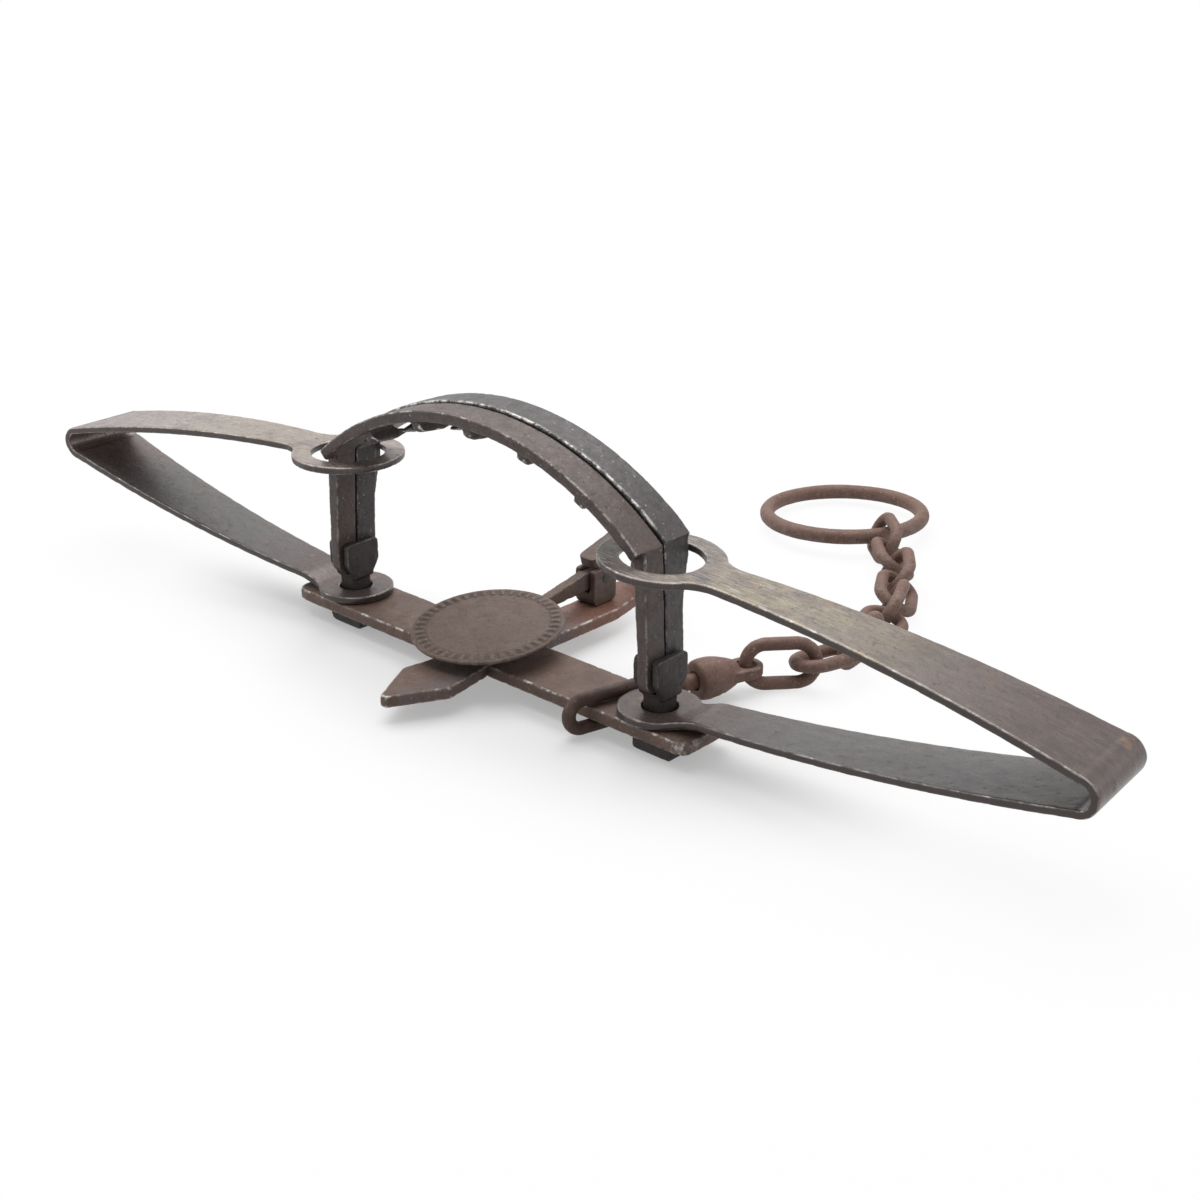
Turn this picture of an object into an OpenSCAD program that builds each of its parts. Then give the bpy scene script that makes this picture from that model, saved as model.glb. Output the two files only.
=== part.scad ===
// Leghold trap with two long leaf springs, sprung shut, with chain and stake ring.
// Millimetres. X runs along the base bar, Y along the cross bar, Z is up, the feet stand on Z = 0.

/* [Base] */
// spacing of the two jaw posts
post_gap = 167; // [158:1:176]
// width of the base bar
bar_w = 28; // [26:0.5:30]
// thickness of both bars
bar_t = 5.2; // [4.8:0.1:5.6]
// how far the base bar runs past each post
bar_over = 23; // [20:0.5:28]
// height of the foot blocks
foot_h = 6.2; // [6.1:0.1:8]
// width of the cross bar where it meets the base bar
cross_w = 19.2; // [17:0.2:21]
// reach of the pointed near arm from the middle
cross_tip = 58; // [50:1:66]

/* [Jaws] */
// height of the shut jaws above the base bar
jaw_rise = 96.5; // [93:0.5:100]
// outside radius of the jaw arch
jaw_radius = 131; // [126:1:138]
// width of each jaw across the bite
jaw_w = 14.2; // [13:0.1:14.4]
// thickness of the jaw arch
jaw_t = 5.8; // [5:0.1:6.4]
// width of a jaw leg
leg_w = 10; // [9:0.1:10.6]
// thickness of a jaw leg
leg_t = 5; // [4.4:0.1:5.6]
// teeth on the front jaw
front_teeth = 5; // [3:2:7]
// spacing of the teeth on one jaw
tooth_pitch = 28; // [20:1:30]

/* [Springs] */
// thickness of the spring strip
spring_t = 3; // [2.6:0.1:3.2]
// reach of a spring from its post to the outside of its bend
spring_reach = 169; // [155:1:180]
// strip width at the bend
bend_w = 36.4; // [32:0.2:40]
// strip width at the eyes
neck_w = 19.4; // [18:0.2:20.4]
// outside radius of the bend
bend_r = 7.3; // [6.4:0.1:8]
// height of the left bend
left_bend_z = 48; // [45:0.2:50]
// height of the right bend
right_bend_z = 41.2; // [39:0.2:46]
// how far the left spring is swung toward the front
left_swing = 4.1; // [0:0.1:6]
// how far the right spring is swung toward the back
right_swing = 4.3; // [0:0.1:6]
// hole of the upper eye
upper_eye_d = 30; // [29.5:0.5:32]

/* [Pan] */
// diameter of the pan
pan_d = 60; // [52:0.5:62]
// thickness of the pan
pan_t = 1.8; // [1.6:0.1:2.2]
// tilt of the pan, far side up
pan_tilt = 6; // [4:0.1:6.6]
// sideways place of the pan, its post and the dog
pan_x = -3.4; // [-4.4:0.1:-2.4]
// teeth of the plain border round the pan
pan_dentils = 44; // [24:4:60]

/* [Chain] */
// wire of the bow and the links
wire_d = 5.6; // [5.3:0.1:5.7]
// inside length of a link
link_len = 21.8; // [21.6:0.1:22.6]
// inside width of a link
link_in = 9.8; // [9.7:0.1:10.1]
// outside diameter of the stake ring
ring_d = 80; // [74:1:90]
// wire of the stake ring
ring_wire = 7.2; // [6.6:0.1:7.3]

/* [Hidden] */
$fn = 48;
post_x = post_gap / 2;
bar_top = foot_h + bar_t;
slack = 0.3;
run = 0.06;

// forks, pins and the hinge line of the jaws
mate = 0.2;
pin_y = mate + leg_w / 2;
pin_r = 2;
pivot_z = bar_top + 15.1;
slot_w = leg_t + 2 * slack;
ear_t = 3.2;
fork_x = slot_w / 2 + ear_t;
fork_y = 8.3;
fork_top = pivot_z + 8.6;
slot_floor = pivot_z - leg_w / 2 - 0.5;
stem_r = 6;
tenon_r = 4;
stem_top = bar_top + 9;

// jaw arch
arch_z = bar_top + jaw_rise - jaw_radius;
arch_in = jaw_radius - jaw_t;
knee_x = post_x + 1.5;
knee_a = acos(knee_x / jaw_radius);
knee_in_z = arch_z + sin(knee_a) * arch_in;
lean = 2.8;
leg_top = arch_z + sqrt(pow(jaw_radius - jaw_t / 2, 2) - pow(post_x - lean, 2));
jaw_reach = pin_y + bar_top + jaw_rise - pivot_z;

// springs: s runs from the post axis along the leaf
bend_c = bend_r - spring_t / 2;
bend_s = spring_reach - bend_r;
low_z = bar_top + slack + spring_t / 2;
low_eye_r = 15.5;
low_hole_r = stem_r + 1;
joggle_s = 24;
joggle_h = 3.4;
eye_r = upper_eye_d / 2 + 7.8;
eye_lim = arch_z + sqrt(pow(arch_in, 2) - pow(post_x - sqrt(pow(upper_eye_d / 2, 2) - pow(jaw_w, 2)), 2));
left_eye_z = eye_lim - slack - spring_t / 2;
right_eye_z = left_eye_z - 4;
eye_s = 24;
bow_up = 3.4;
bow_down = 3;

// pan, its post and the dog
pan_top = bar_top + 9;
pan_y = -1;
pan_pin_y = 61;
pan_pin_z = bar_top + 11;
pan_pin_r = 1.6;
shank_w = 4.8;
pan_slot = shank_w + 2 * slack;
pan_ear = 2.8;
pan_post_w = pan_slot + 2 * pan_ear;
pan_post_top = bar_top + 15.5;
dog_w = 10;
dog_t = 4.4;
dog_rise = 15;
dog_rest_y = 54;
dog_y = jaw_reach + 6;
dog_z = pan_post_top + 0.1 + dog_t / 2 / cos(dog_rise) + (dog_y - dog_rest_y) * tan(dog_rise);
dog_pin_r = 1.8;
dog_slot = 6.6;
up_half = 7.6;

// the bow lies level round the base bar; its stem and the swivel turn off to one side
wire_r = wire_d / 2;
bow_way = 76;
stem_way = 71;
bow_x = post_x - 19.5;
bow_low = foot_h - slack - wire_r;
bow_high = bar_top + slack + wire_r;
swivel_z = (bow_low + bow_high) / 2;
bow_r = (bow_high - bow_low) / 2;
bow_front = -(bar_w / 2 + 1) / sin(bow_way) - 0.8;
bow_back = (bar_w / 2 + 3) / sin(bow_way) + 1;
join_t = bow_back + 10;
join_x = bow_x + join_t * cos(bow_way);
join_y = join_t * sin(bow_way);
bell_t = 5;
bell_r = 8;
eye_t = bell_t + 23;
eye_x = join_x + eye_t * cos(stem_way);
eye_y = join_y + eye_t * sin(stem_way);
tongue_t = 4.6;
eye_wear = 1.5;
swivel_hole_r = 4;
head_r = 5;

// chain: the way each link points, its roll about its own length, and how far it is held off the ground
link_way = [48, 74, 97, 108, 114, 120, 126, 132, 136];
link_roll = [80, -10, 100, 15, -62, 33, -52, 36, -64];
link_lift = [0, 5.8, 0.6, 4.3, 0.5, 0.8, 0.5, 0.3, 0];
link_ring_r = (link_in + wire_d) / 2;
link_pitch = link_len - 1.6;
first_link = (link_len + wire_d) / 2 - 0.2;
ring_c = (ring_d - ring_wire) / 2;
ring_way = 153;
hook_back = link_len / 2 - ring_wire / 2 - 2;

iron = [0.22, 0.19, 0.17];
dark = [0.16, 0.15, 0.15];
steel = [0.38, 0.35, 0.32];
rust = [0.33, 0.22, 0.17];

function smooth(u) = u <= 0 ? 0 : u >= 1 ? 1 : u * u * (3 - 2 * u);
function way(a) = [cos(a), sin(a), 0];

// a rod from one point to another, with round ends when asked
module rod(a, b, r) {
    d = b - a;
    translate(a)
        rotate([0, acos(d[2] / norm(d)), atan2(d[1], d[0])])
            cylinder(h = norm(d), r = r);
}

module pin_x(x0, x1, y, z, r) {
    translate([x0, y, z])
        rotate([0, 90, 0])
            cylinder(h = x1 - x0, r = r);
}

// a flat outline in Y and Z, run along X
module along_x(x0, x1, pts) {
    translate([x0, 0, 0])
        rotate([90, 0, 90])
            linear_extrude(height = x1 - x0)
                polygon(pts);
}

// a flat outline in X and Z, run along Y
module along_y(y0, y1, pts) {
    translate([0, y1, 0])
        rotate([90, 0, 0])
            linear_extrude(height = y1 - y0)
                polygon(pts);
}

module base_bar() {
    half = post_x + bar_over;
    color(iron)
    translate([0, 0, foot_h])
    difference() {
        linear_extrude(height = bar_t)
            polygon([[-half, -bar_w / 2 + 5], [-half + 2, -bar_w / 2 + 1], [-half + 6, -bar_w / 2],
                [half - 4, -bar_w / 2], [half - 1, -bar_w / 2 + 1], [half, -bar_w / 2 + 3],
                [half, bar_w / 2 - 2], [half - 2, bar_w / 2], [-half + 6, bar_w / 2],
                [-half + 2, bar_w / 2 - 1], [-half, bar_w / 2 - 5]]);
        translate([-cross_w / 2, -bar_w, bar_t / 2])
            cube([cross_w, 2 * bar_w, bar_t]);
        for (side = [-1, 1])
            translate([side * post_x, 0, -1])
                cylinder(h = bar_t + 2, r = tenon_r);
        translate([0, 0, -1])
            cylinder(h = bar_t + 2, r = 3);
    }
}

// side outline of the cross bar: flat, then turned up at the far end
function cross_side(r) = concat(
    [[-cross_tip, 0], [dog_y - bar_t / 2 - r, 0]],
    [for (i = [0:8]) [dog_y - bar_t / 2 - r + (r + bar_t) * sin(i * 11.25), r + bar_t - (r + bar_t) * cos(i * 11.25)]],
    [[dog_y + bar_t / 2, dog_z - foot_h], [dog_y - bar_t / 2, dog_z - foot_h]],
    [for (i = [8:-1:0]) [dog_y - bar_t / 2 - r + r * sin(i * 11.25), r + bar_t - r * cos(i * 11.25)]],
    [[-cross_tip, bar_t]]);

module cross_bar() {
    shoulder = cross_w / 2 + 3.6;
    color(rust)
    translate([0, 0, foot_h])
    difference() {
        union() {
            intersection() {
                along_x(-40, 40, cross_side(6));
                translate([0, 0, -1])
                    linear_extrude(height = 80)
                        polygon([[-1.6, -cross_tip], [1.6, -cross_tip], [shoulder, -cross_tip + 21.5], [cross_w / 2, -bar_w / 2],
                            [cross_w / 2, 60], [pan_x + up_half, dog_y - 8], [pan_x + up_half, dog_y + 9],
                            [pan_x - up_half, dog_y + 9], [pan_x - up_half, dog_y - 8], [-cross_w / 2, 60],
                            [-cross_w / 2, -bar_w / 2], [-shoulder, -cross_tip + 21.5]]);
            }
            pin_x(pan_x - up_half, pan_x + up_half, dog_y, dog_z - foot_h, 4.2);
        }
        translate([-40, -bar_w / 2, -1])
            cube([80, bar_w, bar_t / 2 + 1]);
        translate([0, 0, -1])
            cylinder(h = bar_t + 2, r = 3);
        translate([pan_x, pan_pin_y - 0.5, -1])
            cylinder(h = bar_t + 2, r = 2.4);
        translate([pan_x - dog_slot / 2, dog_y - 8, dog_z - foot_h - 5])
            cube([dog_slot, 16, 12]);
        pin_x(-20, 20, dog_y, dog_z - foot_h, dog_pin_r);
    }
}

module centre_rivet() {
    color(iron)
    translate([0, 0, foot_h]) {
        cylinder(h = bar_t, r = 3);
        translate([0, 0, bar_t])
            cylinder(h = 1.2, r1 = 5, r2 = 3.2);
    }
}

// a forked post: two ears for the jaw tails, a round stem, a tenon through bar and foot
module post_at(x) {
    translate([x, 0, 0])
    difference() {
        union() {
            along_x(-fork_x, fork_x, [[-fork_y + 0.8, fork_top], [-fork_y, fork_top - 0.8],
                [-fork_y, slot_floor + 1], [-stem_r + 0.4, stem_top - 0.5], [stem_r - 0.4, stem_top - 0.5],
                [fork_y, slot_floor + 1], [fork_y, fork_top - 0.8], [fork_y - 0.8, fork_top]]);
            translate([0, 0, bar_top])
                cylinder(h = stem_top - bar_top, r = stem_r);
            translate([0, 0, 0.4])
                cylinder(h = bar_top, r = tenon_r);
        }
        translate([-slot_w / 2, -20, slot_floor])
            cube([slot_w, 40, 40]);
        for (side = [-1, 1])
            pin_x(-20, 20, side * pin_y, pivot_z, pin_r);
    }
}

module left_post() {
    color(dark)
    post_at(-post_x);
}

module right_post() {
    color(dark)
    post_at(post_x);
}

module foot_at(x) {
    shift = 5;
    difference() {
        translate([x + shift, 0, 0])
            along_y(-11, 11, [[-8.2, 0], [8.2, 0], [8.8, 1], [8.8, foot_h], [-8.8, foot_h], [-8.8, 1]]);
        translate([x, 0, -1])
            cylinder(h = foot_h + 2, r = tenon_r);
    }
}

module left_foot() {
    color(dark)
    foot_at(-post_x);
}

module right_foot() {
    color(dark)
    foot_at(post_x);
}

// one tooth, drawn under the top of the arch and turned to its place; it reaches under the other jaw
module tooth(x) {
    translate([0, 0, arch_z])
        rotate([0, asin(x / arch_in), 0])
            along_x(-2.3, 2.3, [[jaw_w - 4, arch_in + 0.6], [mate, arch_in + 0.6], [mate, arch_in - 1.1],
                [-6, arch_in - 2.8], [-6.4, arch_in - 4], [0, arch_in - 5.4], [6, arch_in - 2.6]]);
}

// the jaw on the +Y side: arch, legs, round tails on the pins
module jaw(teeth_x) {
    difference() {
        union() {
            translate([0, 0, arch_z])
                rotate([90, 0, 0])
                    rotate([0, 0, knee_a])
                        rotate_extrude(angle = 180 - 2 * knee_a, $fn = 120)
                            translate([arch_in, -jaw_w])
                                square([jaw_t, jaw_w - mate]);
            for (side = [0, 1])
                mirror([side, 0, 0]) {
                    along_y(mate, mate + leg_w, [[post_x - leg_t / 2, pivot_z], [post_x + leg_t / 2, pivot_z],
                        [post_x + leg_t / 2, fork_top + 1], [post_x - lean + leg_t / 2, leg_top],
                        [post_x - lean - leg_t / 2, leg_top], [post_x - leg_t / 2, fork_top + 1]]);
                    pin_x(post_x - leg_t / 2, post_x + leg_t / 2, pin_y, pivot_z, leg_w / 2);
                }
            for (x = teeth_x)
                tooth(x);
        }
        for (side = [-1, 1])
            pin_x(side * post_x - 10, side * post_x + 10, pin_y, pivot_z, pin_r + run);
    }
}

module rear_jaw() {
    color(dark)
    jaw([for (i = [0:front_teeth - 2]) (i - (front_teeth - 2) / 2) * tooth_pitch]);
}

module front_jaw() {
    color(dark)
    mirror([0, 1, 0])
        jaw([for (i = [0:front_teeth - 1]) (i - (front_teeth - 1) / 2) * tooth_pitch]);
}

module jaw_pins(x) {
    for (side = [-1, 1])
        pin_x(x - fork_x, x + fork_x, side * pin_y, pivot_z, pin_r);
}

module left_jaw_pins() {
    color(iron)
    jaw_pins(-post_x);
}

module right_jaw_pins() {
    color(iron)
    jaw_pins(post_x);
}

// height of the middle of the lower leaf, and of the upper leaf, at s
function low_mid(s, bz) = let(z0 = low_z + joggle_h, z1 = bz - bend_c, u = (s - joggle_s) / (bend_s - joggle_s))
    s < joggle_s ? low_z + joggle_h * smooth((s - 9) / (joggle_s - 9))
    : z0 + (z1 - z0) * u - 4 * bow_down * u * (1 - u);
function up_mid(s, bz, ez) = let(z1 = bz + bend_c, u = (s - eye_s) / (bend_s - eye_s))
    s < eye_s ? ez : ez + (z1 - ez) * u + 4 * bow_up * u * (1 - u);
function low_path(bz) = concat(
    [[-30, low_z], [9, low_z]],
    [for (i = [1:5]) let(s = 9 + (joggle_s - 9) * i / 5) [s, low_mid(s, bz)]],
    [for (i = [1:13]) let(s = joggle_s + (bend_s - 1 - joggle_s) * i / 13) [s, low_mid(s, bz)]]);
function bend_path(bz) = [for (i = [1:13]) let(a = -80 + 160 * (i - 1) / 12)
    [bend_s + bend_c * cos(a), bz + bend_c * sin(a)]];
function up_path(bz, ez) = concat(
    [for (i = [0:13]) let(s = bend_s - (bend_s - eye_s) * i / 13) [s, up_mid(s, bz, ez)]],
    [[-30, ez]]);

// the edge of a path, d to its left
function edge(p, d) = [for (i = [0:len(p) - 1])
    let(a = p[max(i - 1, 0)], b = p[min(i + 1, len(p) - 1)], t = (b - a) / norm(b - a))
    p[i] + d * [-t[1], t[0]]];
function strip(p) = concat(edge(p, -spring_t / 2), [for (i = [len(p) - 1:-1:0]) edge(p, spring_t / 2)[i]]);

// one rounded side of a leaf's neck, from just inside its eye to the straight edge
function neck(r, f, side) = let(h = neck_w / 2, k = r - 0.3 + f, sf = sqrt(k * k - pow(h + f, 2)),
    a0 = atan2(h + f, sf))
    [for (i = [0:8]) let(a = 180 + a0 + (90 - a0) * i / 8) [sf + f * cos(a), side * (h + f + f * sin(a))]];

// plan of a leaf: an eye, a rounded neck and a strip that widens toward the bend
module leaf_plan(r, f) {
    top = neck(r, f, 1);
    low = neck(r, f, -1);
    union() {
        circle(r = r);
        polygon(concat([[0, 0]], low, [[spring_reach + 2, -bend_w / 2], [spring_reach + 2, bend_w / 2]],
            [for (i = [8:-1:0]) top[i]]));
    }
}

module spring_lower(bz) {
    difference() {
        intersection() {
            along_y(-40, 40, strip(concat(low_path(bz), bend_path(bz))));
            linear_extrude(height = 200)
                leaf_plan(low_eye_r, 8);
        }
        cylinder(h = 60, r = low_hole_r);
    }
}

module spring_upper(bz, ez) {
    difference() {
        intersection() {
            along_y(-40, 40, strip(up_path(bz, ez)));
            linear_extrude(height = 200)
                leaf_plan(eye_r, 13);
        }
        cylinder(h = 200, d = upper_eye_d);
    }
}

module on_left() {
    translate([-post_x, 0, 0])
        rotate([0, 0, left_swing])
            mirror([1, 0, 0])
                children();
}

module on_right() {
    translate([post_x, 0, 0])
        rotate([0, 0, right_swing])
            children();
}

module left_spring_lower() {
    color(steel)
    on_left()
        spring_lower(left_bend_z);
}

module left_spring_upper() {
    color(steel)
    on_left()
        spring_upper(left_bend_z, left_eye_z);
}

module right_spring_lower() {
    color(steel)
    on_right()
        spring_lower(right_bend_z);
}

module right_spring_upper() {
    color(steel)
    on_right()
        spring_upper(right_bend_z, right_eye_z);
}

// the pan's own frame: its top face is Z = 0, tilted
module on_pan() {
    translate([pan_x, pan_y, pan_top])
        rotate([pan_tilt, 0, 0])
            children();
}

module pan() {
    color(iron)
    on_pan()
    difference() {
        union() {
            translate([0, 0, -pan_t])
                cylinder(h = pan_t, d = pan_d, $fn = 96);
            for (i = [0:pan_dentils - 1])
                rotate([0, 0, 360 * i / pan_dentils])
                    translate([pan_d / 2 - 5.4, -0.8, -0.5])
                        cube([3.8, 1.6, 1]);
        }
        translate([0, 0, -pan_t - 1])
            cylinder(h = pan_t + 2, r = 2.5);
    }
}

module pan_rivet() {
    color(iron)
    on_pan()
        translate([0, 0, -pan_t - 3.8])
            cylinder(h = pan_t + 3.8, r = 2.5);
}

// the shank runs flat under the pan, then climbs edge up to the pin in the pan post
module pan_shank() {
    c = cos(pan_tilt);
    k = tan(pan_tilt);
    under = pan_top - pan_t / c - 0.02;
    y0 = -13;
    y1 = 22;
    color(iron)
    difference() {
        union() {
            along_x(pan_x - shank_w / 2, pan_x + shank_w / 2, [[y0, under + k * (y0 - pan_y) - 2.6],
                [y0 + 3, under + k * (y0 + 3 - pan_y) - 3.8], [y1 + 4, under + k * (y1 - pan_y) - 4],
                [pan_pin_y - 4, pan_pin_z - 4], [pan_pin_y + 3, pan_pin_z - 3], [pan_pin_y + 2, pan_pin_z + 3.4],
                [pan_pin_y - 6.5, pan_pin_z + 3.2], [pan_pin_y - 9, pan_pin_z + 3.8], [pan_pin_y - 15, pan_pin_z + 2.4],
                [y1 + 6, under + k * (y1 + 6 - pan_y)], [y0, under + k * (y0 - pan_y)]]);
            pin_x(pan_x - shank_w / 2, pan_x + shank_w / 2, pan_pin_y, pan_pin_z, 4);
            on_pan()
                translate([0, 0, -pan_t - 3.8])
                    cylinder(h = 3.77, r = 6);
        }
        pin_x(-30, 30, pan_pin_y, pan_pin_z, pan_pin_r + run);
        on_pan()
            translate([0, 0, -pan_t - 8])
                cylinder(h = 8, r = 2.5);
    }
}

module pan_post() {
    color(iron)
    difference() {
        along_x(pan_x - pan_post_w / 2, pan_x + pan_post_w / 2, [[dog_rest_y + 1, bar_top],
            [pan_pin_y + 4.6, bar_top], [pan_pin_y + 6, bar_top + 2], [pan_pin_y + 6.6, pan_post_top - 3],
            [pan_pin_y + 4.6, pan_post_top], [dog_rest_y, pan_post_top], [dog_rest_y - 0.6, bar_top + 3]]);
        translate([pan_x - pan_slot / 2, 40, pan_pin_z - 5.2])
            cube([pan_slot, 40, 40]);
        pin_x(-30, 30, pan_pin_y, pan_pin_z, pan_pin_r);
        translate([pan_x, pan_pin_y - 0.5, 0])
            cylinder(h = 40, r = 2.4);
    }
}

module pan_post_rivet() {
    color(iron)
    translate([pan_x, pan_pin_y - 0.5, foot_h])
        cylinder(h = bar_t + pan_pin_z - 5.4 - bar_top, r = 2.4);
}

module pan_pin() {
    color(iron)
    pin_x(pan_x - pan_post_w / 2 - 0.5, pan_x + pan_post_w / 2 + 0.5, pan_pin_y, pan_pin_z, pan_pin_r);
}

// the dog points from its pin toward the pan post and lies on the post's ears
module dog() {
    reach = (dog_y - dog_rest_y) / cos(dog_rise) - 0.6;
    color(iron)
    translate([pan_x, dog_y, dog_z])
        rotate([dog_rise, 0, 0])
            difference() {
                union() {
                    translate([0, 0, -dog_t / 2])
                        linear_extrude(height = dog_t)
                            polygon([[-dog_slot / 2 + 0.3, 0], [-dog_slot / 2 + 0.3, -5.4], [-dog_w / 2, -8],
                                [-dog_w / 2, -reach + 3.5], [-dog_w / 2 + 1.2, -reach + 1.2], [-2.4, -reach],
                                [2.4, -reach], [dog_w / 2 - 1.2, -reach + 1.2], [dog_w / 2, -reach + 3.5],
                                [dog_w / 2, -8], [dog_slot / 2 - 0.3, -5.4], [dog_slot / 2 - 0.3, 0]]);
                    pin_x(-dog_slot / 2 + 0.3, dog_slot / 2 - 0.3, 0, 0, 3.9);
                }
                pin_x(-20, 20, 0, 0, dog_pin_r + run);
            }
}

module dog_pin() {
    color(iron)
    pin_x(pan_x - up_half, pan_x + up_half, dog_y, dog_z, dog_pin_r);
}

// the level axis of the bow becomes X, then that of the stem and swivel
module on_bow() {
    translate([bow_x, 0, 0])
        rotate([0, 0, bow_way])
            children();
}

module on_stem() {
    translate([join_x, join_y, 0])
        rotate([0, 0, stem_way])
            children();
}

module swivel_bow() {
    color(rust) {
        on_bow() {
            translate([bow_front, 0, swivel_z])
                rotate([90, 0, 0])
                    rotate([0, 0, 90])
                        rotate_extrude(angle = 180)
                            translate([bow_r, 0])
                                circle(r = wire_r);
            for (z = [bow_low, bow_high]) {
                rod([bow_front - 0.02, 0, z], [bow_back, 0, z], wire_r);
                translate([bow_back, 0, z])
                    sphere(r = wire_r);
                rod([bow_back, 0, z], [join_t, 0, swivel_z], wire_r);
            }
        }
        on_stem() {
            translate([0, 0, swivel_z])
                sphere(r = 3.6);
            rod([0, 0, swivel_z], [bell_t + 9, 0, swivel_z], 3.2);
            rod([bell_t + 6.5, 0, swivel_z], [bell_t + 10, 0, swivel_z], head_r);
        }
    }
}

// pear-shaped forging with an open underside for the stem's head, and a flat tongue with an eye
module swivel_body() {
    color(rust)
    on_stem()
    difference() {
        union() {
            translate([bell_t, 0, swivel_z])
                rotate([0, 90, 0])
                    rotate_extrude()
                        polygon([[0, 0], [6, 0], [7.4, 1.2], [bell_r, 3.6], [bell_r, 6.5], [7.5, 9.5],
                            [6.3, 12.5], [5.1, 15.5], [4.2, 19], [0, 19]]);
            translate([bell_t + 13, -4.2, swivel_z - tongue_t / 2])
                cube([eye_t - bell_t - 13, 8.4, tongue_t]);
            translate([eye_t, 0, swivel_z - tongue_t / 2])
                cylinder(h = tongue_t, r = swivel_hole_r + 3.2);
        }
        translate([eye_t, 0, swivel_z - 10])
            cylinder(h = 20, r = swivel_hole_r);
        translate([eye_t, 0, swivel_z - tongue_t / 2 - 0.1])
            cylinder(h = eye_wear + 0.1, r1 = swivel_hole_r + eye_wear + 0.1, r2 = swivel_hole_r);
        rod([bell_t - 2, 0, swivel_z], [bell_t + 8, 0, swivel_z], 3.2 + slack);
        rod([bell_t + 5.8, 0, swivel_z], [bell_t + 10.8, 0, swivel_z], head_r + slack);
        translate([bell_t + 5.8, -head_r - slack, swivel_z - 20])
            cube([5, 2 * (head_r + slack), 20]);
    }
}

// an oval link along X, flat in X and Y
module link() {
    half = (link_len - link_in) / 2;
    for (side = [0, 1])
        mirror([side, 0, 0])
            translate([half, 0, 0])
                rotate([0, 0, -90])
                    rotate_extrude(angle = 180)
                        translate([link_ring_r, 0])
                            circle(r = wire_r);
    for (y = [-link_ring_r, link_ring_r])
        rod([-half - 0.02, y, 0], [half + 0.02, y, 0], wire_r);
}

// middle of link i, counted along the chain from the swivel eye
function link_at(i) = i == 0 ? [eye_x, eye_y, 0] + first_link * way(link_way[0])
    : link_at(i - 1) + link_pitch / 2 * (way(link_way[i - 1]) + way(link_way[i]));

function link_z(i) = link_ring_r * abs(sin(link_roll[i])) + wire_r + 0.1 + link_lift[i];

module link_no(i) {
    color(rust)
    translate(link_at(i) + [0, 0, link_z(i)])
        rotate([0, 0, link_way[i]])
            rotate([link_roll[i], 0, 0])
                link();
}

module link_1() {
    link_no(0);
}

module link_2() {
    link_no(1);
}

module link_3() {
    link_no(2);
}

module link_4() {
    link_no(3);
}

module link_5() {
    link_no(4);
}

module link_6() {
    link_no(5);
}

module link_7() {
    link_no(6);
}

module link_8() {
    link_no(7);
}

module link_9() {
    link_no(8);
}

// the ring lies on the ground, lifted where the last link passes under it
module stake_ring() {
    hook_z = link_z(8) - 0.1;
    ring_tip = asin((hook_z - ring_wire / 2) / (2 * ring_c));
    color(rust)
    translate(link_at(8) + hook_back * way(link_way[8]) + [0, 0, hook_z])
        rotate([0, 0, ring_way])
            rotate([0, ring_tip, 0])
                translate([ring_c, 0, 0])
                    rotate_extrude($fn = 96)
                        translate([ring_c, 0])
                            circle(d = ring_wire);
}

base_bar();
cross_bar();
centre_rivet();
left_post();
right_post();
left_foot();
right_foot();
front_jaw();
rear_jaw();
left_jaw_pins();
right_jaw_pins();
left_spring_lower();
left_spring_upper();
right_spring_lower();
right_spring_upper();
pan();
pan_shank();
pan_rivet();
pan_post();
pan_post_rivet();
pan_pin();
dog();
dog_pin();
swivel_bow();
swivel_body();
link_1();
link_2();
link_3();
link_4();
link_5();
link_6();
link_7();
link_8();
link_9();
stake_ring();
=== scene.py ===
"""Looks of a double long-spring leghold trap: forged skins, worn finishes and a plain studio."""

import math
from types import SimpleNamespace

import bmesh
import bpy
import numpy as np
from bpy.props import FloatProperty, FloatVectorProperty, IntProperty, PointerProperty
from bpy.types import Operator, Panel, PropertyGroup
from mathutils import Matrix, Vector, noise


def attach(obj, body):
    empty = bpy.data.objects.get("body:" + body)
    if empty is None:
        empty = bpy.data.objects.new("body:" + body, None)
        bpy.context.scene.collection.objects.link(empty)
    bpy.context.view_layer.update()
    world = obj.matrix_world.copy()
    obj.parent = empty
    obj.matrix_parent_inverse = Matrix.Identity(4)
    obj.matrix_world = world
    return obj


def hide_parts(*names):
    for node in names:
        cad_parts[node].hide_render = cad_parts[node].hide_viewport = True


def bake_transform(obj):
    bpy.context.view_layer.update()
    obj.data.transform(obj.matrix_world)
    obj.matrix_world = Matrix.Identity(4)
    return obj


bl_info = {
    "name": "Leghold Trap Looks",
    "version": (1, 0, 0),
    "blender": (4, 5, 0),
    "location": "3D View > Sidebar > Trap",
    "description": "Forged iron skins, worn finishes and a studio for a double long-spring trap",
    "category": "Object",
}

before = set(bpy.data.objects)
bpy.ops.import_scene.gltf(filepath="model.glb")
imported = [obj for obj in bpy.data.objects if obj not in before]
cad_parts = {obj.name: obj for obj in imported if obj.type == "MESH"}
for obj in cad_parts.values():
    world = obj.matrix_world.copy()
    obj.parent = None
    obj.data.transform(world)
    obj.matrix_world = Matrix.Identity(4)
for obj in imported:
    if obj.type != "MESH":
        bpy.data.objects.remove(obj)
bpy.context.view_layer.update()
MM = 0.001


def length(name, description, millimetres):
    """A length property, written here in millimetres and held in metres."""
    return FloatProperty(name=name, description=description, default=millimetres * MM, unit="LENGTH")


def turn(name, description, degrees):
    """An angle property, written here in degrees."""
    return FloatProperty(name=name, description=description, default=math.radians(degrees), unit="ROTATION")


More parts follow.
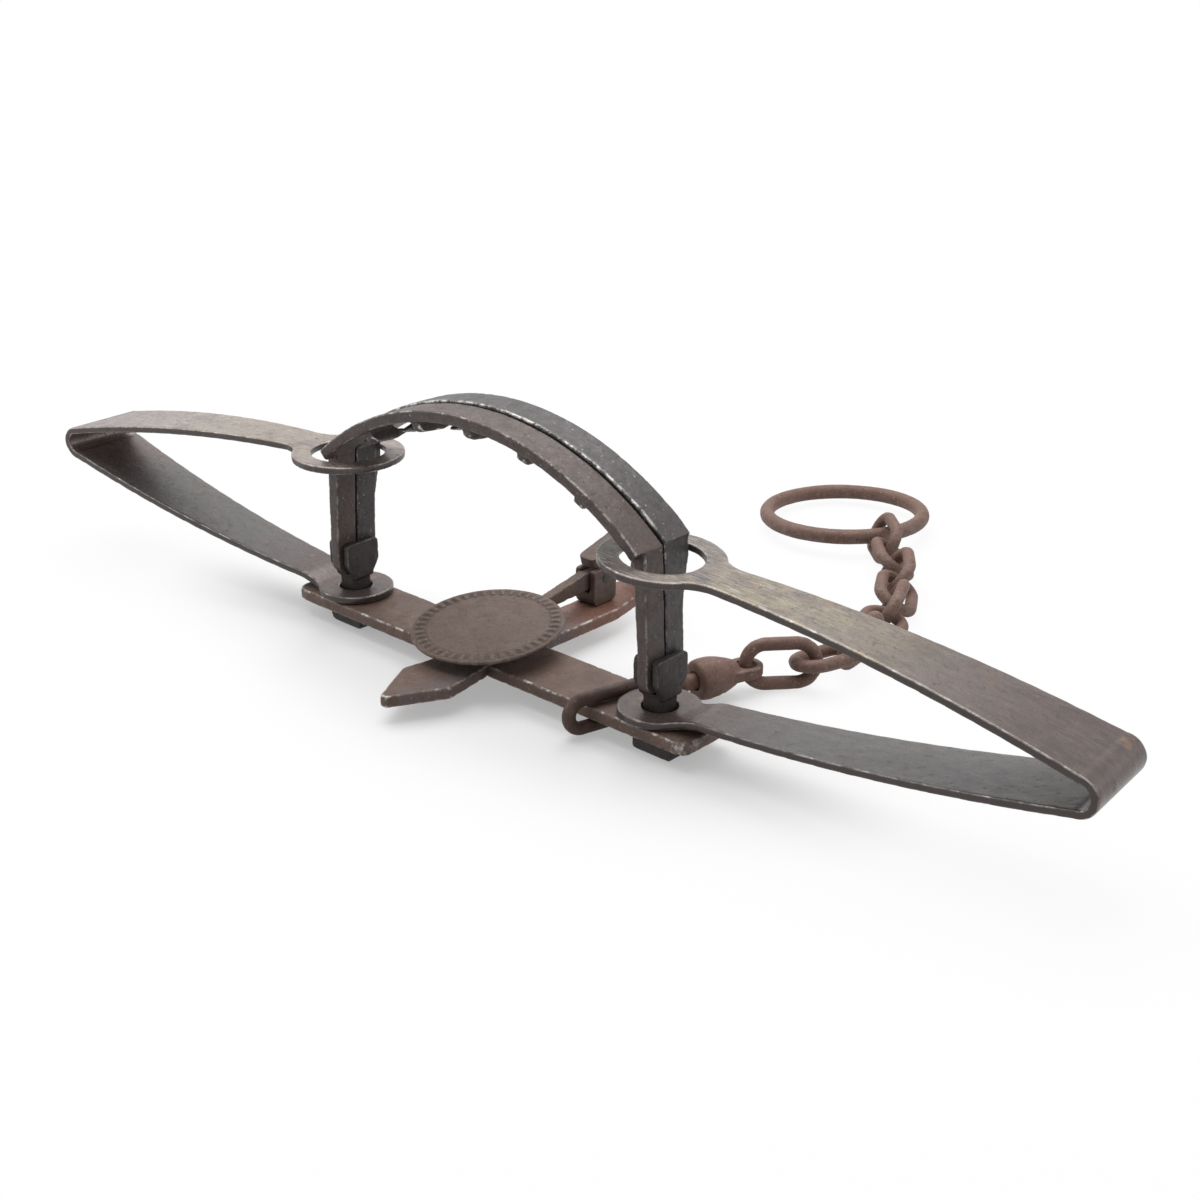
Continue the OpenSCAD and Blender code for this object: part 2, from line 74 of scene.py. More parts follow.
def count(name, description, default, low, high):
    """A whole number property."""
    return IntProperty(name=name, description=description, default=default, min=low, max=high)


def tone(name, description, *rgb):
    """A colour property, as linear values."""
    return FloatVectorProperty(name=name, description=description, default=rgb, subtype="COLOR", size=3,
                               min=0.0, max=1.0)


class BaseSizes(PropertyGroup):
    """Bars, posts and feet."""
    post_gap: length("Post gap", "Spacing of the two jaw posts", 167)
    bar_w: length("Bar width", "Width of the base bar", 28)
    bar_t: length("Bar thickness", "Thickness of both bars", 5.2)
    bar_over: length("Bar overrun", "How far the base bar runs past each post", 23)
    foot_h: length("Foot height", "Height of the foot blocks", 6.2)
    foot_l: length("Foot length", "Foot block along the bar", 17.6)
    foot_w: length("Foot width", "Foot block across the bar", 22)
    foot_shift: length("Foot shift", "Foot block to the right of its post", 5)
    cross_w: length("Cross bar width", "Width of the cross bar at the base bar", 19.2)
    cross_tip: length("Near arm reach", "Reach of the pointed near arm", 58)
    spear: length("Spear length", "Tapered end of the near arm", 21.5)
    pivot_rise: length("Pivot height", "Jaw pins above the base bar", 15.1)


class JawSizes(PropertyGroup):
    """The two jaws."""
    jaw_rise: length("Jaw rise", "Height of the shut jaws above the base bar", 96.5)
    jaw_radius: length("Arch radius", "Outside radius of the jaw arch", 131)
    jaw_step: length("Jaw step", "How much lower the front jaw's arch is", 0.9)
    jaw_w: length("Jaw width", "Width of each jaw across the bite", 14.2)
    jaw_t: length("Jaw thickness", "Thickness of the jaw arch", 5.8)
    leg_w: length("Leg width", "Width of a jaw leg", 10)
    leg_t: length("Leg thickness", "Thickness of a jaw leg", 5)
    leg_lean: length("Leg lean", "How far a leg leans in at its top", 2.8)
    tooth_pitch: length("Tooth pitch", "Spacing of the teeth on one jaw", 28)
    front_teeth: count("Front teeth", "Teeth on the front jaw", 5, 3, 7)


class SpringSizes(PropertyGroup):
    """The two leaf springs."""
    spring_t: length("Strip thickness", "Thickness of the spring strip", 3)
    spring_reach: length("Reach", "From the post to the outside of the bend", 169)
    bend_w: length("Bend width", "Strip width at the bend", 36.4)
    neck_w: length("Neck width", "Strip width at the eyes", 19.4)
    bend_r: length("Bend radius", "Outside radius of the bend", 7.3)
    left_bend_z: length("Left bend height", "Height of the left bend", 48)
    right_bend_z: length("Right bend height", "Height of the right bend", 41.2)
    left_swing: turn("Left swing", "Left spring toward the front", 4.1)
    right_swing: turn("Right swing", "Right spring toward the back", 4.3)
    low_eye_d: length("Lower eye", "Hole of the lower eye", 13.4)
    low_wall: length("Lower eye wall", "Steel round the lower eye", 8.8)
    eye_d: length("Upper eye", "Hole of the upper eye", 30)
    eye_wall: length("Upper eye wall", "Steel round the upper eye", 7.8)
    eye_room: length("Eye room", "Room between the left upper eye and the arch", 1.4)
    eye_drop: length("Eye drop", "How much lower the right upper eye is", 2.9)


class PanSizes(PropertyGroup):
    """The pan with its post, and the dog."""
    pan_d: length("Pan diameter", "Diameter of the pan", 60)
    pan_t: length("Pan thickness", "Thickness of the pan", 1.8)
    pan_rise: length("Pan height", "Top of the pan above the base bar", 9)
    pan_tilt: turn("Pan tilt", "Far side up", 6)
    pan_x: length("Pan shift", "Sideways place of the pan, its post and the dog", -3.4)
    pan_y: length("Pan place", "Place of the pan along the cross bar", -1)
    dentils: count("Border dentils", "Plain bars round the pan", 44, 12, 90)
    pan_pin_y: length("Pan pin place", "Place of the pan pin along the cross bar", 61)
    pan_pin_rise: length("Pan pin height", "Pan pin above the base bar", 11)
    pan_post_rise: length("Pan post height", "Top of the pan post above the base bar", 15.5)
    dog_t: length("Dog thickness", "Thickness of the dog", 4.4)
    dog_rise: turn("Dog slope", "Slope of the dog where it lies on the pan post", 15)
    dog_rest: length("Dog tip place", "Where the dog's tip lies along the cross bar", 54)


class ChainSizes(PropertyGroup):
    """Bow, swivel, links and ring."""
    wire_d: length("Wire", "Wire of the bow and the links", 5.6)
    bow_in: length("Bow place", "From the right post to the bow", 19.5)
    bow_way: turn("Bow direction", "The bow's strands, from the base bar's line", 76)
    stem_way: turn("Stem direction", "The swivel's stem, from the base bar's line", 71)
    link_len: length("Link length", "Inside length of a link", 21.8)
    link_in: length("Link width", "Inside width of a link", 9.8)
    ring_d: length("Ring diameter", "Outside diameter of the stake ring", 80)
    ring_wire: length("Ring wire", "Wire of the stake ring", 7.2)


class IronTones(PropertyGroup):
    """Colours of the finishes."""
    jaw: tone("Jaw iron", "Dark graphite skin of the jaws", 0.069, 0.060, 0.061)
    jaw_brown: tone("Jaw brown", "Brown bloom on the jaws", 0.090, 0.065, 0.058)
    post: tone("Post iron", "Brown-black skin of the posts", 0.036, 0.028, 0.027)
    base: tone("Base iron", "Brown skin of the bars", 0.156, 0.098, 0.075)
    red_rust: tone("Red rust", "Rust on the far arm and in corners", 0.225, 0.108, 0.074)
    pan: tone("Pan iron", "Chocolate skin of the pan", 0.124, 0.080, 0.061)
    steel: tone("Spring steel", "Brown-grey skin of the springs", 0.190, 0.154, 0.135)
    spring_brown: tone("Spring brown", "Brown skin near the bends", 0.118, 0.088, 0.081)
    slate: tone("Slate", "Dark inner face of the springs", 0.140, 0.129, 0.127)
    tan: tone("Tan patina", "Golden patina near the eyes", 0.262, 0.220, 0.156)
    rust_spot: tone("Rust spot", "Small rust spots on the springs", 0.300, 0.165, 0.090)
    chain: tone("Chain rust", "Smooth rust on the chain", 0.165, 0.092, 0.068)
    worn: tone("Worn edge", "Bare metal on rubbed edges", 0.580, 0.560, 0.535)


class Studio(PropertyGroup):
    """Floor and lights."""
    floor: tone("Floor", "Pale floor", 0.93, 0.93, 0.93)
    key: FloatProperty(name="Key light", description="Power of the overhead panel", default=22.0,
                       unit="POWER")
    fill: FloatProperty(name="Fill light", description="Power of the side panels", default=3.0,
                        unit="POWER")
    sky: FloatProperty(name="Sky", description="Even light from all round", default=0.26, min=0.0, max=1.0)


GROUPS = {"trap_base": BaseSizes, "trap_jaws": JawSizes, "trap_springs": SpringSizes, "trap_pan": PanSizes,
          "trap_chain": ChainSizes, "trap_tones": IronTones, "trap_studio": Studio}


def smooth(u):
    """Eases from 0 to 1."""
    u = np.clip(u, 0.0, 1.0)
    return u * u * (3.0 - 2.0 * u)


# heights and offsets in millimetres that follow from the sizes

def post_places(d):
    """Levels of the bars, and the forks round the jaw pins."""
    d.post_x = d.post_gap / 2
    d.bar_top = d.foot_h + d.bar_t
    d.bar_mid = d.foot_h + d.bar_t / 2
    d.mate = 0.2
    d.pin_y = d.mate + d.leg_w / 2
    d.pivot_z = d.bar_top + d.pivot_rise
    d.slot = d.leg_t / 2 + 0.3
    d.fork_x = d.slot + 3.2
    d.fork_y = 8.3
    d.fork_top = d.pivot_z + 8.6
    d.slot_floor = d.pivot_z - d.leg_w / 2 - 0.5
    d.stem_top = d.bar_top + 9


def jaw_places(d):
    """The arch's centre and shoulders, the tops of the legs and the reach of an open jaw."""
    d.arch_z = d.bar_top + d.jaw_rise - d.jaw_radius
    d.arch_in = d.jaw_radius - d.jaw_t
    d.knee = math.acos((d.post_x + 1.5) / d.jaw_radius)
    d.leg_top = d.arch_z + math.sqrt((d.jaw_radius - d.jaw_t / 2) ** 2 - (d.post_x - d.leg_lean) ** 2)
    d.jaw_reach = d.pin_y + d.bar_top + d.jaw_rise - d.pivot_z


def spring_places(d):
    """The bend's centre line, the flat strip's length, and the levels of the eyes."""
    d.bend_c = d.bend_r - d.spring_t / 2
    d.bend_s = d.spring_reach - d.bend_r
    d.bend_arc = math.pi * d.bend_c
    d.strip = 2 * d.bend_s + d.bend_arc
    d.low_z = d.bar_top + 0.3 + d.spring_t / 2
    eye_run = math.sqrt((d.eye_d / 2) ** 2 - d.jaw_w ** 2)
    under_arch = d.arch_z + math.sqrt(d.arch_in ** 2 - (d.post_x - eye_run) ** 2)
    d.left_eye_z = under_arch - d.eye_room - d.spring_t / 2
    d.right_eye_z = d.left_eye_z - d.eye_drop


def pan_places(d):
    """The pan and its post, and the dog from its knuckle down to the pan post."""
    d.pan_top = d.bar_top + d.pan_rise
    d.pan_pin_z = d.bar_top + d.pan_pin_rise
    d.pan_post_top = d.bar_top + d.pan_post_rise
    d.dog_y = d.jaw_reach + 6
    d.dog_z = (d.pan_post_top + 0.1 + d.dog_t / 2 / math.cos(d.dog_rise)
               + (d.dog_y - d.dog_rest) * math.tan(d.dog_rise))
    d.dog_slot = 3.3
    d.up_half = 7.6


def bow_places(d):
    """The bow's strands over and under the bar, and the stem that carries the swivel."""
    d.wire_r = d.wire_d / 2
    d.bow_x = d.post_x - d.bow_in
    d.bow_r = d.wire_r - 0.15
    d.bow_low = d.foot_h - 0.3 - d.wire_r
    d.bow_high = d.bar_top + 0.15 + d.bow_r
    d.bow_front = -(d.bar_w / 2 + 1) / math.sin(d.bow_way) - 0.8
    d.bow_back = (d.bar_w / 2 + 3) / math.sin(d.bow_way) + 1
    d.join_t = d.bow_back + 10
    d.join = Vector((d.bow_x + d.join_t * math.cos(d.bow_way), d.join_t * math.sin(d.bow_way), 0))
    d.bell_t = 5.0
    d.eye_t = d.bell_t + 23


def measures(context):
    """Every size in millimetres or radians, with the places that follow from them."""
    d = SimpleNamespace()
    for name in ("trap_base", "trap_jaws", "trap_springs", "trap_pan", "trap_chain"):
        group = getattr(context.scene, name)
        for p in group.bl_rna.properties:
            if p.type in {"FLOAT", "INT"}:
                setattr(d, p.identifier, getattr(group, p.identifier) / (MM if p.unit == "LENGTH" else 1))
    for work_out in (post_places, jaw_places, spring_places, pan_places, bow_places):
        work_out(d)
    return d


# shells in millimetres: closed forms that a piece is forged from

AXES = {"X": lambda a, b, c: (c, a, b), "Y": lambda a, b, c: (a, c, b), "Z": lambda a, b, c: (a, b, c)}


def edges_of(verts):
    return list({e for v in verts for e in v.link_edges})


def slab(bm, outline, low, high, axis="Z"):
    """A flat outline pushed from low to high: along X it takes (y, z), along Y (x, z), along Z (x, y)."""
    at = AXES[axis]
    rim = [bm.verts.new(at(a, b, low)) for a, b in outline]
    face = bm.faces.new(rim)
    grown = bmesh.ops.extrude_face_region(bm, geom=[face], use_keep_orig=True)["geom"]
    far = [g for g in grown if isinstance(g, bmesh.types.BMVert)]
    bmesh.ops.translate(bm, verts=far, vec=Vector(at(0, 0, high - low)))
    return rim + far


def block(bm, xs, ys, zs):
    """A plain block between two values on each axis."""
    return slab(bm, [(xs[0], ys[0]), (xs[1], ys[0]), (xs[1], ys[1]), (xs[0], ys[1])], *zs)


def mirrored(half):
    """A closed outline from its half on one side of the second axis."""
    return half + [(-a, b) for a, b in reversed(half)]


def ease(bm, edges, width, segments):
    """Rounds edges over."""
    bmesh.ops.bevel(bm, geom=edges, offset=width, offset_type="OFFSET", segments=segments, profile=0.5,
                    affect="EDGES", material=-1)


def rod(bm, a, b, r, segments=24):
    """A round bar from a to b."""
    a, b = Vector(a), Vector(b)
    place = Matrix.Translation((a + b) / 2) @ (b - a).to_track_quat("Z", "Y").to_matrix().to_4x4()
    return bmesh.ops.create_cone(bm, cap_ends=True, segments=segments, radius1=r, radius2=r,
                                 depth=(b - a).length, matrix=place)["verts"]


def knob(bm, at, r, squash=(1, 1, 1)):
    """A ball, or a flattened one."""
    place = Matrix.Translation(at) @ Matrix.Diagonal((*squash, 1))
    return bmesh.ops.create_uvsphere(bm, u_segments=24, v_segments=16, radius=r, matrix=place)["verts"]


def headed_pin(bm, at, half, r, head_r, sunk, flat):
    """A pin along X with a flattened head in each end."""
    x, y, z = at
    rod(bm, (x - half, y, z), (x + half, y, z), r)
    for end in (-1, 1):
        knob(bm, (x + end * (half - sunk), y, z), head_r, (flat, 1, 1))


def hoop(bm, ring_r, wire_r, angle=math.tau, steps=72, place=Matrix.Identity(4)):
    """A bent round wire in X and Y, starting on +X; a full turn closes on itself."""
    stand = Matrix.Translation((ring_r, 0, 0)) @ Matrix.Rotation(math.pi / 2, 4, "X")
    verts = bmesh.ops.create_circle(bm, cap_ends=False, segments=24, radius=wire_r, matrix=stand)["verts"]
    before = set(bm.verts) - set(verts)
    whole = angle > math.tau - 1e-6
    bmesh.ops.spin(bm, geom=verts + edges_of(verts), cent=(0, 0, 0), axis=(0, 0, 1), angle=angle, steps=steps,
                   use_merge=whole)
    made = [v for v in bm.verts if v not in before]
    close_ends(bm, made)
    bmesh.ops.transform(bm, matrix=place, verts=made)
    return made


def lathe(bm, profile, place=Matrix.Identity(4), steps=48):
    """A profile of (radius, height) points turned once round Z."""
    before = set(bm.verts)
    line = [bm.verts.new((r, 0, z)) for r, z in profile]
    edges = [bm.edges.new(pair) for pair in zip(line, line[1:])]
    bmesh.ops.spin(bm, geom=line + edges, cent=(0, 0, 0), axis=(0, 0, 1), angle=math.tau, steps=steps,
                   use_merge=True)
    made = [v for v in bm.verts if v not in before]
    bmesh.ops.remove_doubles(bm, verts=made, dist=1e-4)
    made = [v for v in bm.verts if v not in before]
    bmesh.ops.transform(bm, matrix=place, verts=made)
    return made


def washer(bm, at, inner, outer, low, high):
    """A flat ring in X and Y."""
    made = []
    for r in (inner, outer):
        made += bmesh.ops.create_circle(bm, cap_ends=False, segments=64, radius=r,
                                        matrix=Matrix.Translation((at, 0, low)))["verts"]
    ring = bmesh.ops.bridge_loops(bm, edges=edges_of(made))["faces"]
    grown = bmesh.ops.extrude_face_region(bm, geom=ring, use_keep_orig=True)["geom"]
    far = [g for g in grown if isinstance(g, bmesh.types.BMVert)]
    bmesh.ops.translate(bm, verts=far, vec=(0, 0, high - low))


def close_ends(bm, verts):
    """Fills the open ends of a shell."""
    rims = [e for e in edges_of(verts) if e.is_boundary]
    if rims:
        bmesh.ops.holes_fill(bm, edges=rims, sides=0)


# forging: shells become one skin with rounded edges, hammer marks, pits and a record of where it is rubbed

def grain(co, size, seed):
    """Soft noise from 0 to 1 over points, with marks about size across."""
    spots = ((x / size + seed, y / size - seed, z / size) for x, y, z in co.tolist())
    return np.array([0.5 + 0.5 * noise.noise(spot) for spot in spots])


def neighbours(mesh):
    """A function that averages values over each point's neighbours."""
    edges = np.empty(len(mesh.edges) * 2, np.int32)
    mesh.edges.foreach_get("vertices", edges)
    a, b = edges[0::2], edges[1::2]
    n = len(mesh.vertices)
    links = np.maximum(np.bincount(a, minlength=n) + np.bincount(b, minlength=n), 1)

    def mean(values):
        if values.ndim == 2:
            return np.stack([mean(values[:, k]) for k in range(values.shape[1])], 1)
        return (np.bincount(a, values[b], n) + np.bincount(b, values[a], n)) / links

    return mean


def points(mesh):
    co = np.empty(len(mesh.vertices) * 3, np.float32)
    mesh.vertices.foreach_get("co", co)
    return co.reshape(-1, 3).astype(float)


def normals(mesh):
    out = np.empty(len(mesh.vertices) * 3, np.float32)
    mesh.vertex_normals.foreach_get("vector", out)
    return out.reshape(-1, 3).astype(float)


def put(mesh, co):
    mesh.vertices.foreach_set("co", co.astype(np.float32).ravel())
    mesh.update()


def note(mesh, name, values):
    """Keeps one number per point on the mesh."""
    layer = mesh.attributes.get(name) or mesh.attributes.new(name, "FLOAT", "POINT")
    layer.data.foreach_set("value", values.astype(np.float32))


def raw(name, bm):
    """An object from shells, with their faces outward."""
    bmesh.ops.recalc_face_normals(bm, faces=bm.faces)
    mesh = bpy.data.meshes.new(name)
    bm.to_mesh(mesh)
    bm.free()
    obj = bpy.data.objects.new(name, mesh)
    bpy.context.scene.collection.objects.link(obj)
    return obj


def remesh(obj, voxel):
    skin = obj.modifiers.new("skin", "REMESH")
    skin.mode, skin.voxel_size, skin.use_smooth_shade = "VOXEL", voxel, True


def fused(name, bm, voxel, cut):
    """An object whose shells are one skin, with the cut's shells taken out."""
    obj = raw(name, bm)
    remesh(obj, voxel)
    tool = None
    if cut is not None:
        tool = raw(name + "_tool", cut)
        carve = obj.modifiers.new("carve", "BOOLEAN")
        carve.operation, carve.object, carve.solver, carve.use_self = "DIFFERENCE", tool, "EXACT", True
        remesh(obj, voxel)
    dg = bpy.context.evaluated_depsgraph_get()
    mesh = bpy.data.meshes.new_from_object(obj.evaluated_get(dg))
    obj.modifiers.clear()
    obj.data = mesh
    mesh.name = name
    if tool:
        bpy.data.objects.remove(tool)
    return obj


def forge(name, bm, voxel, soften=3, hammer=0.12, pits=0.08, nicks=0.25, cut=None, seed=0.0, rub=None,
          painted_shade=None):
    """Forges a piece from its shells, in millimetres. All marks go inward, so clearances stay.
    rub and the shade hook change where edges are rubbed bright and where painted shade sits."""
    voxel *= 1.0
    obj = fused(name, bm, voxel, cut)
    mesh = obj.data
    mean = neighbours(mesh)
    co = points(mesh)
    for _ in range(soften):
        co = co * 0.5 + mean(co) * 0.5
    put(mesh, co)
    out = normals(mesh)
    bulge = -np.einsum("ij,ij->i", mean(co) - co, out) / voxel
    bulge = mean(bulge)
    ridge = max(float(np.percentile(bulge, 99)), 0.03)
    wear = smooth((bulge / ridge - 0.5) / 0.45)
    # concave places, kept as hollow for the finish to darken as painted shade
    hollow = smooth((-mean(bulge) - 0.012) / 0.06)
    wear = rub(co, wear) if rub else wear
    hollow = painted_shade(co, hollow) if painted_shade else hollow
    sink = hammer * grain(co, 13.0, seed) + 0.4 * hammer * grain(co, 5.0, seed + 3)
    sink += pits * np.maximum(grain(co, 1.9, seed + 7) - 0.52, 0) * 2.2
    sink += nicks * wear * smooth((grain(co, 3.4, seed + 11) - 0.55) * 4)
    put(mesh, co - out * sink[:, None])
    note(mesh, "wear", wear)
    note(mesh, "hollow", hollow)
    return obj


PIN_MARKS = {"hammer": 0.03, "pits": 0.03, "nicks": 0.05}


def paint(obj, finished):
    """Brings a forged piece to metres and gives it its finish."""
    obj.data.transform(Matrix.Scale(MM, 4))
    obj.data.materials.clear()
    obj.data.materials.append(finished)


def settle(obj, body, slot, finished, *nodes):
    """Paints a forged piece and sets it on its body in place of the CAD nodes."""
    paint(obj, finished)
    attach(obj, body)
    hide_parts(*nodes)


def repaint(node, finished):
    """Gives a CAD node that stays its finish."""
    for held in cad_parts[node].material_slots:
        held.material = finished


# finishes

def add(tree, kind, inputs=None, **settings):
    """A shader node with its settings, and its inputs as values or links."""
    node = tree.nodes.new(kind)
    for key, value in settings.items():
        setattr(node, key, value)
    for key, value in (inputs or {}).items():
        if isinstance(value, bpy.types.NodeSocket):
            tree.links.new(value, node.inputs[key])
        else:
            node.inputs[key].default_value = value
    return node


def cloud(tree, where, scale, detail=4.0, rough=0.55, twist=0.0):
    """Noise from 0 to 1."""
    return add(tree, "ShaderNodeTexNoise", {"Vector": where, "Scale": scale, "Detail": detail,
                                            "Roughness": rough, "Distortion": twist}).outputs["Fac"]


def step(tree, value, low, high, first=0.0, last=1.0):
    """Eases a value between two levels."""
    levels = {"Value": value, "From Min": low, "From Max": high, "To Min": first, "To Max": last}
    return add(tree, "ShaderNodeMapRange", levels, interpolation_type="SMOOTHSTEP").outputs["Result"]


def sums(tree, how, a, b):
    return add(tree, "ShaderNodeMath", {0: a, 1: b}, operation=how).outputs[0]


def blended(tree, share, a, b, how="MIX"):
    colours = [c if isinstance(c, bpy.types.NodeSocket) else (*c, 1.0) for c in (a, b)]
    return add(tree, "ShaderNodeMix", {0: share, 6: colours[0], 7: colours[1]}, data_type="RGBA",
               blend_type=how).outputs[2]


def kept(tree, name):
    """The number that a mesh keeps per point."""
    return add(tree, "ShaderNodeAttribute", attribute_name=name).outputs["Fac"]


def shade(colour, k):
    return tuple(min(1.0, c * k) for c in colour)


def new_finish(name):
    """An empty finish, its node tree and its shader."""
    mat = bpy.data.materials.new(name)
    mat.use_nodes = True
    return mat, mat.node_tree, mat.node_tree.nodes["Principled BSDF"]


def raise_grain(tree, body, height, strength, distance):
    bump = add(tree, "ShaderNodeBump", {"Strength": strength, "Distance": distance, "Height": height})
    tree.links.new(bump.outputs["Normal"], body.inputs["Normal"])


def iron(name, skin, bloom, worn, metal=0.3, rough=0.52, bloom_at=0.55, wear=1.0, specks=0.25, vary=0.16,
         zone=None):
    """Old forged iron: a mottled skin with blooms of another tone, rubbed edges, painted shade in hollows and
    seams, and pits.
    zone is (axis, from, to, colour): a tint that comes in along an axis, in metres."""
    mat, t, body = new_finish(name)
    where = add(t, "ShaderNodeTexCoord").outputs["Object"]
    skin, bloom, worn = tuple(skin), tuple(bloom), tuple(worn)
    broad = cloud(t, where, 38, 5, 0.62)
    mottle = cloud(t, where, 190, 6, 0.72)
    grit = cloud(t, where, 1150, 4, 0.7)
    colour = blended(t, step(t, mottle, 0.32, 0.68), shade(skin, 1 - vary), shade(skin, 1 + vary))
    if zone:
        axis, low, high, tint = zone
        along = add(t, "ShaderNodeSeparateXYZ", {0: where}).outputs[axis]
        edge = sums(t, "MULTIPLY_ADD", broad, 0.06)
        edge.node.inputs[2].default_value = -0.03
        share = step(t, sums(t, "ADD", along, edge), low, high)
        tinted = blended(t, step(t, mottle, 0.3, 0.7), shade(tint, 0.8), shade(tint, 1.12))
        colour = blended(t, share, colour, tinted)
    spread = sums(t, "ADD", sums(t, "MULTIPLY", broad, 0.66), sums(t, "MULTIPLY", mottle, 0.34))
    colour = blended(t, step(t, spread, bloom_at - 0.07, bloom_at + 0.1), colour, bloom)
    colour = blended(t, 1.0, colour, step(t, grit, 0.3, 0.7, 0.80, 1.20), "MULTIPLY")
    # painted shade: hollows, and the seam between the jaws, darkened toward a shaded copy of the skin
    colour = blended(t, sums(t, "MULTIPLY", kept(t, "hollow"), 0.8), colour, shade(skin, 0.22))
    pit = step(t, cloud(t, where, 620, 2, 0.5), 0.36, 0.24)
    colour = blended(t, sums(t, "MULTIPLY", pit, 0.55), colour, shade(skin, 0.35))
    dust = sums(t, "MULTIPLY", step(t, cloud(t, where, 880, 1, 0.4, 0.3), 0.71, 0.78), specks)
    colour = blended(t, dust, colour, shade(worn, 0.9))
    broken = step(t, cloud(t, where, 240, 5, 0.75), 0.44, 0.60, 0.06, 1.0)
    rub = sums(t, "MULTIPLY", sums(t, "MULTIPLY", kept(t, "wear"), broken), wear)
    rub = sums(t, "MINIMUM", rub, 0.9)
    colour = blended(t, rub, colour, worn)
    t.links.new(colour, body.inputs["Base Color"])
    gloss = step(t, mottle, 0.25, 0.75, rough + 0.08, rough - 0.08)
    gloss = sums(t, "ADD", gloss, sums(t, "MULTIPLY", pit, 0.2))
    t.links.new(sums(t, "SUBTRACT", gloss, sums(t, "MULTIPLY", rub, 0.2)), body.inputs["Roughness"])
    t.links.new(sums(t, "MAXIMUM", sums(t, "MULTIPLY", rub, 0.8), metal), body.inputs["Metallic"])
    height = sums(t, "ADD", sums(t, "MULTIPLY", grit, 0.5), sums(t, "MULTIPLY", mottle, 0.7))
    height = sums(t, "SUBTRACT", height, sums(t, "MULTIPLY", pit, 0.7))
    raise_grain(t, body, height, 0.6, 0.00022)
    return mat


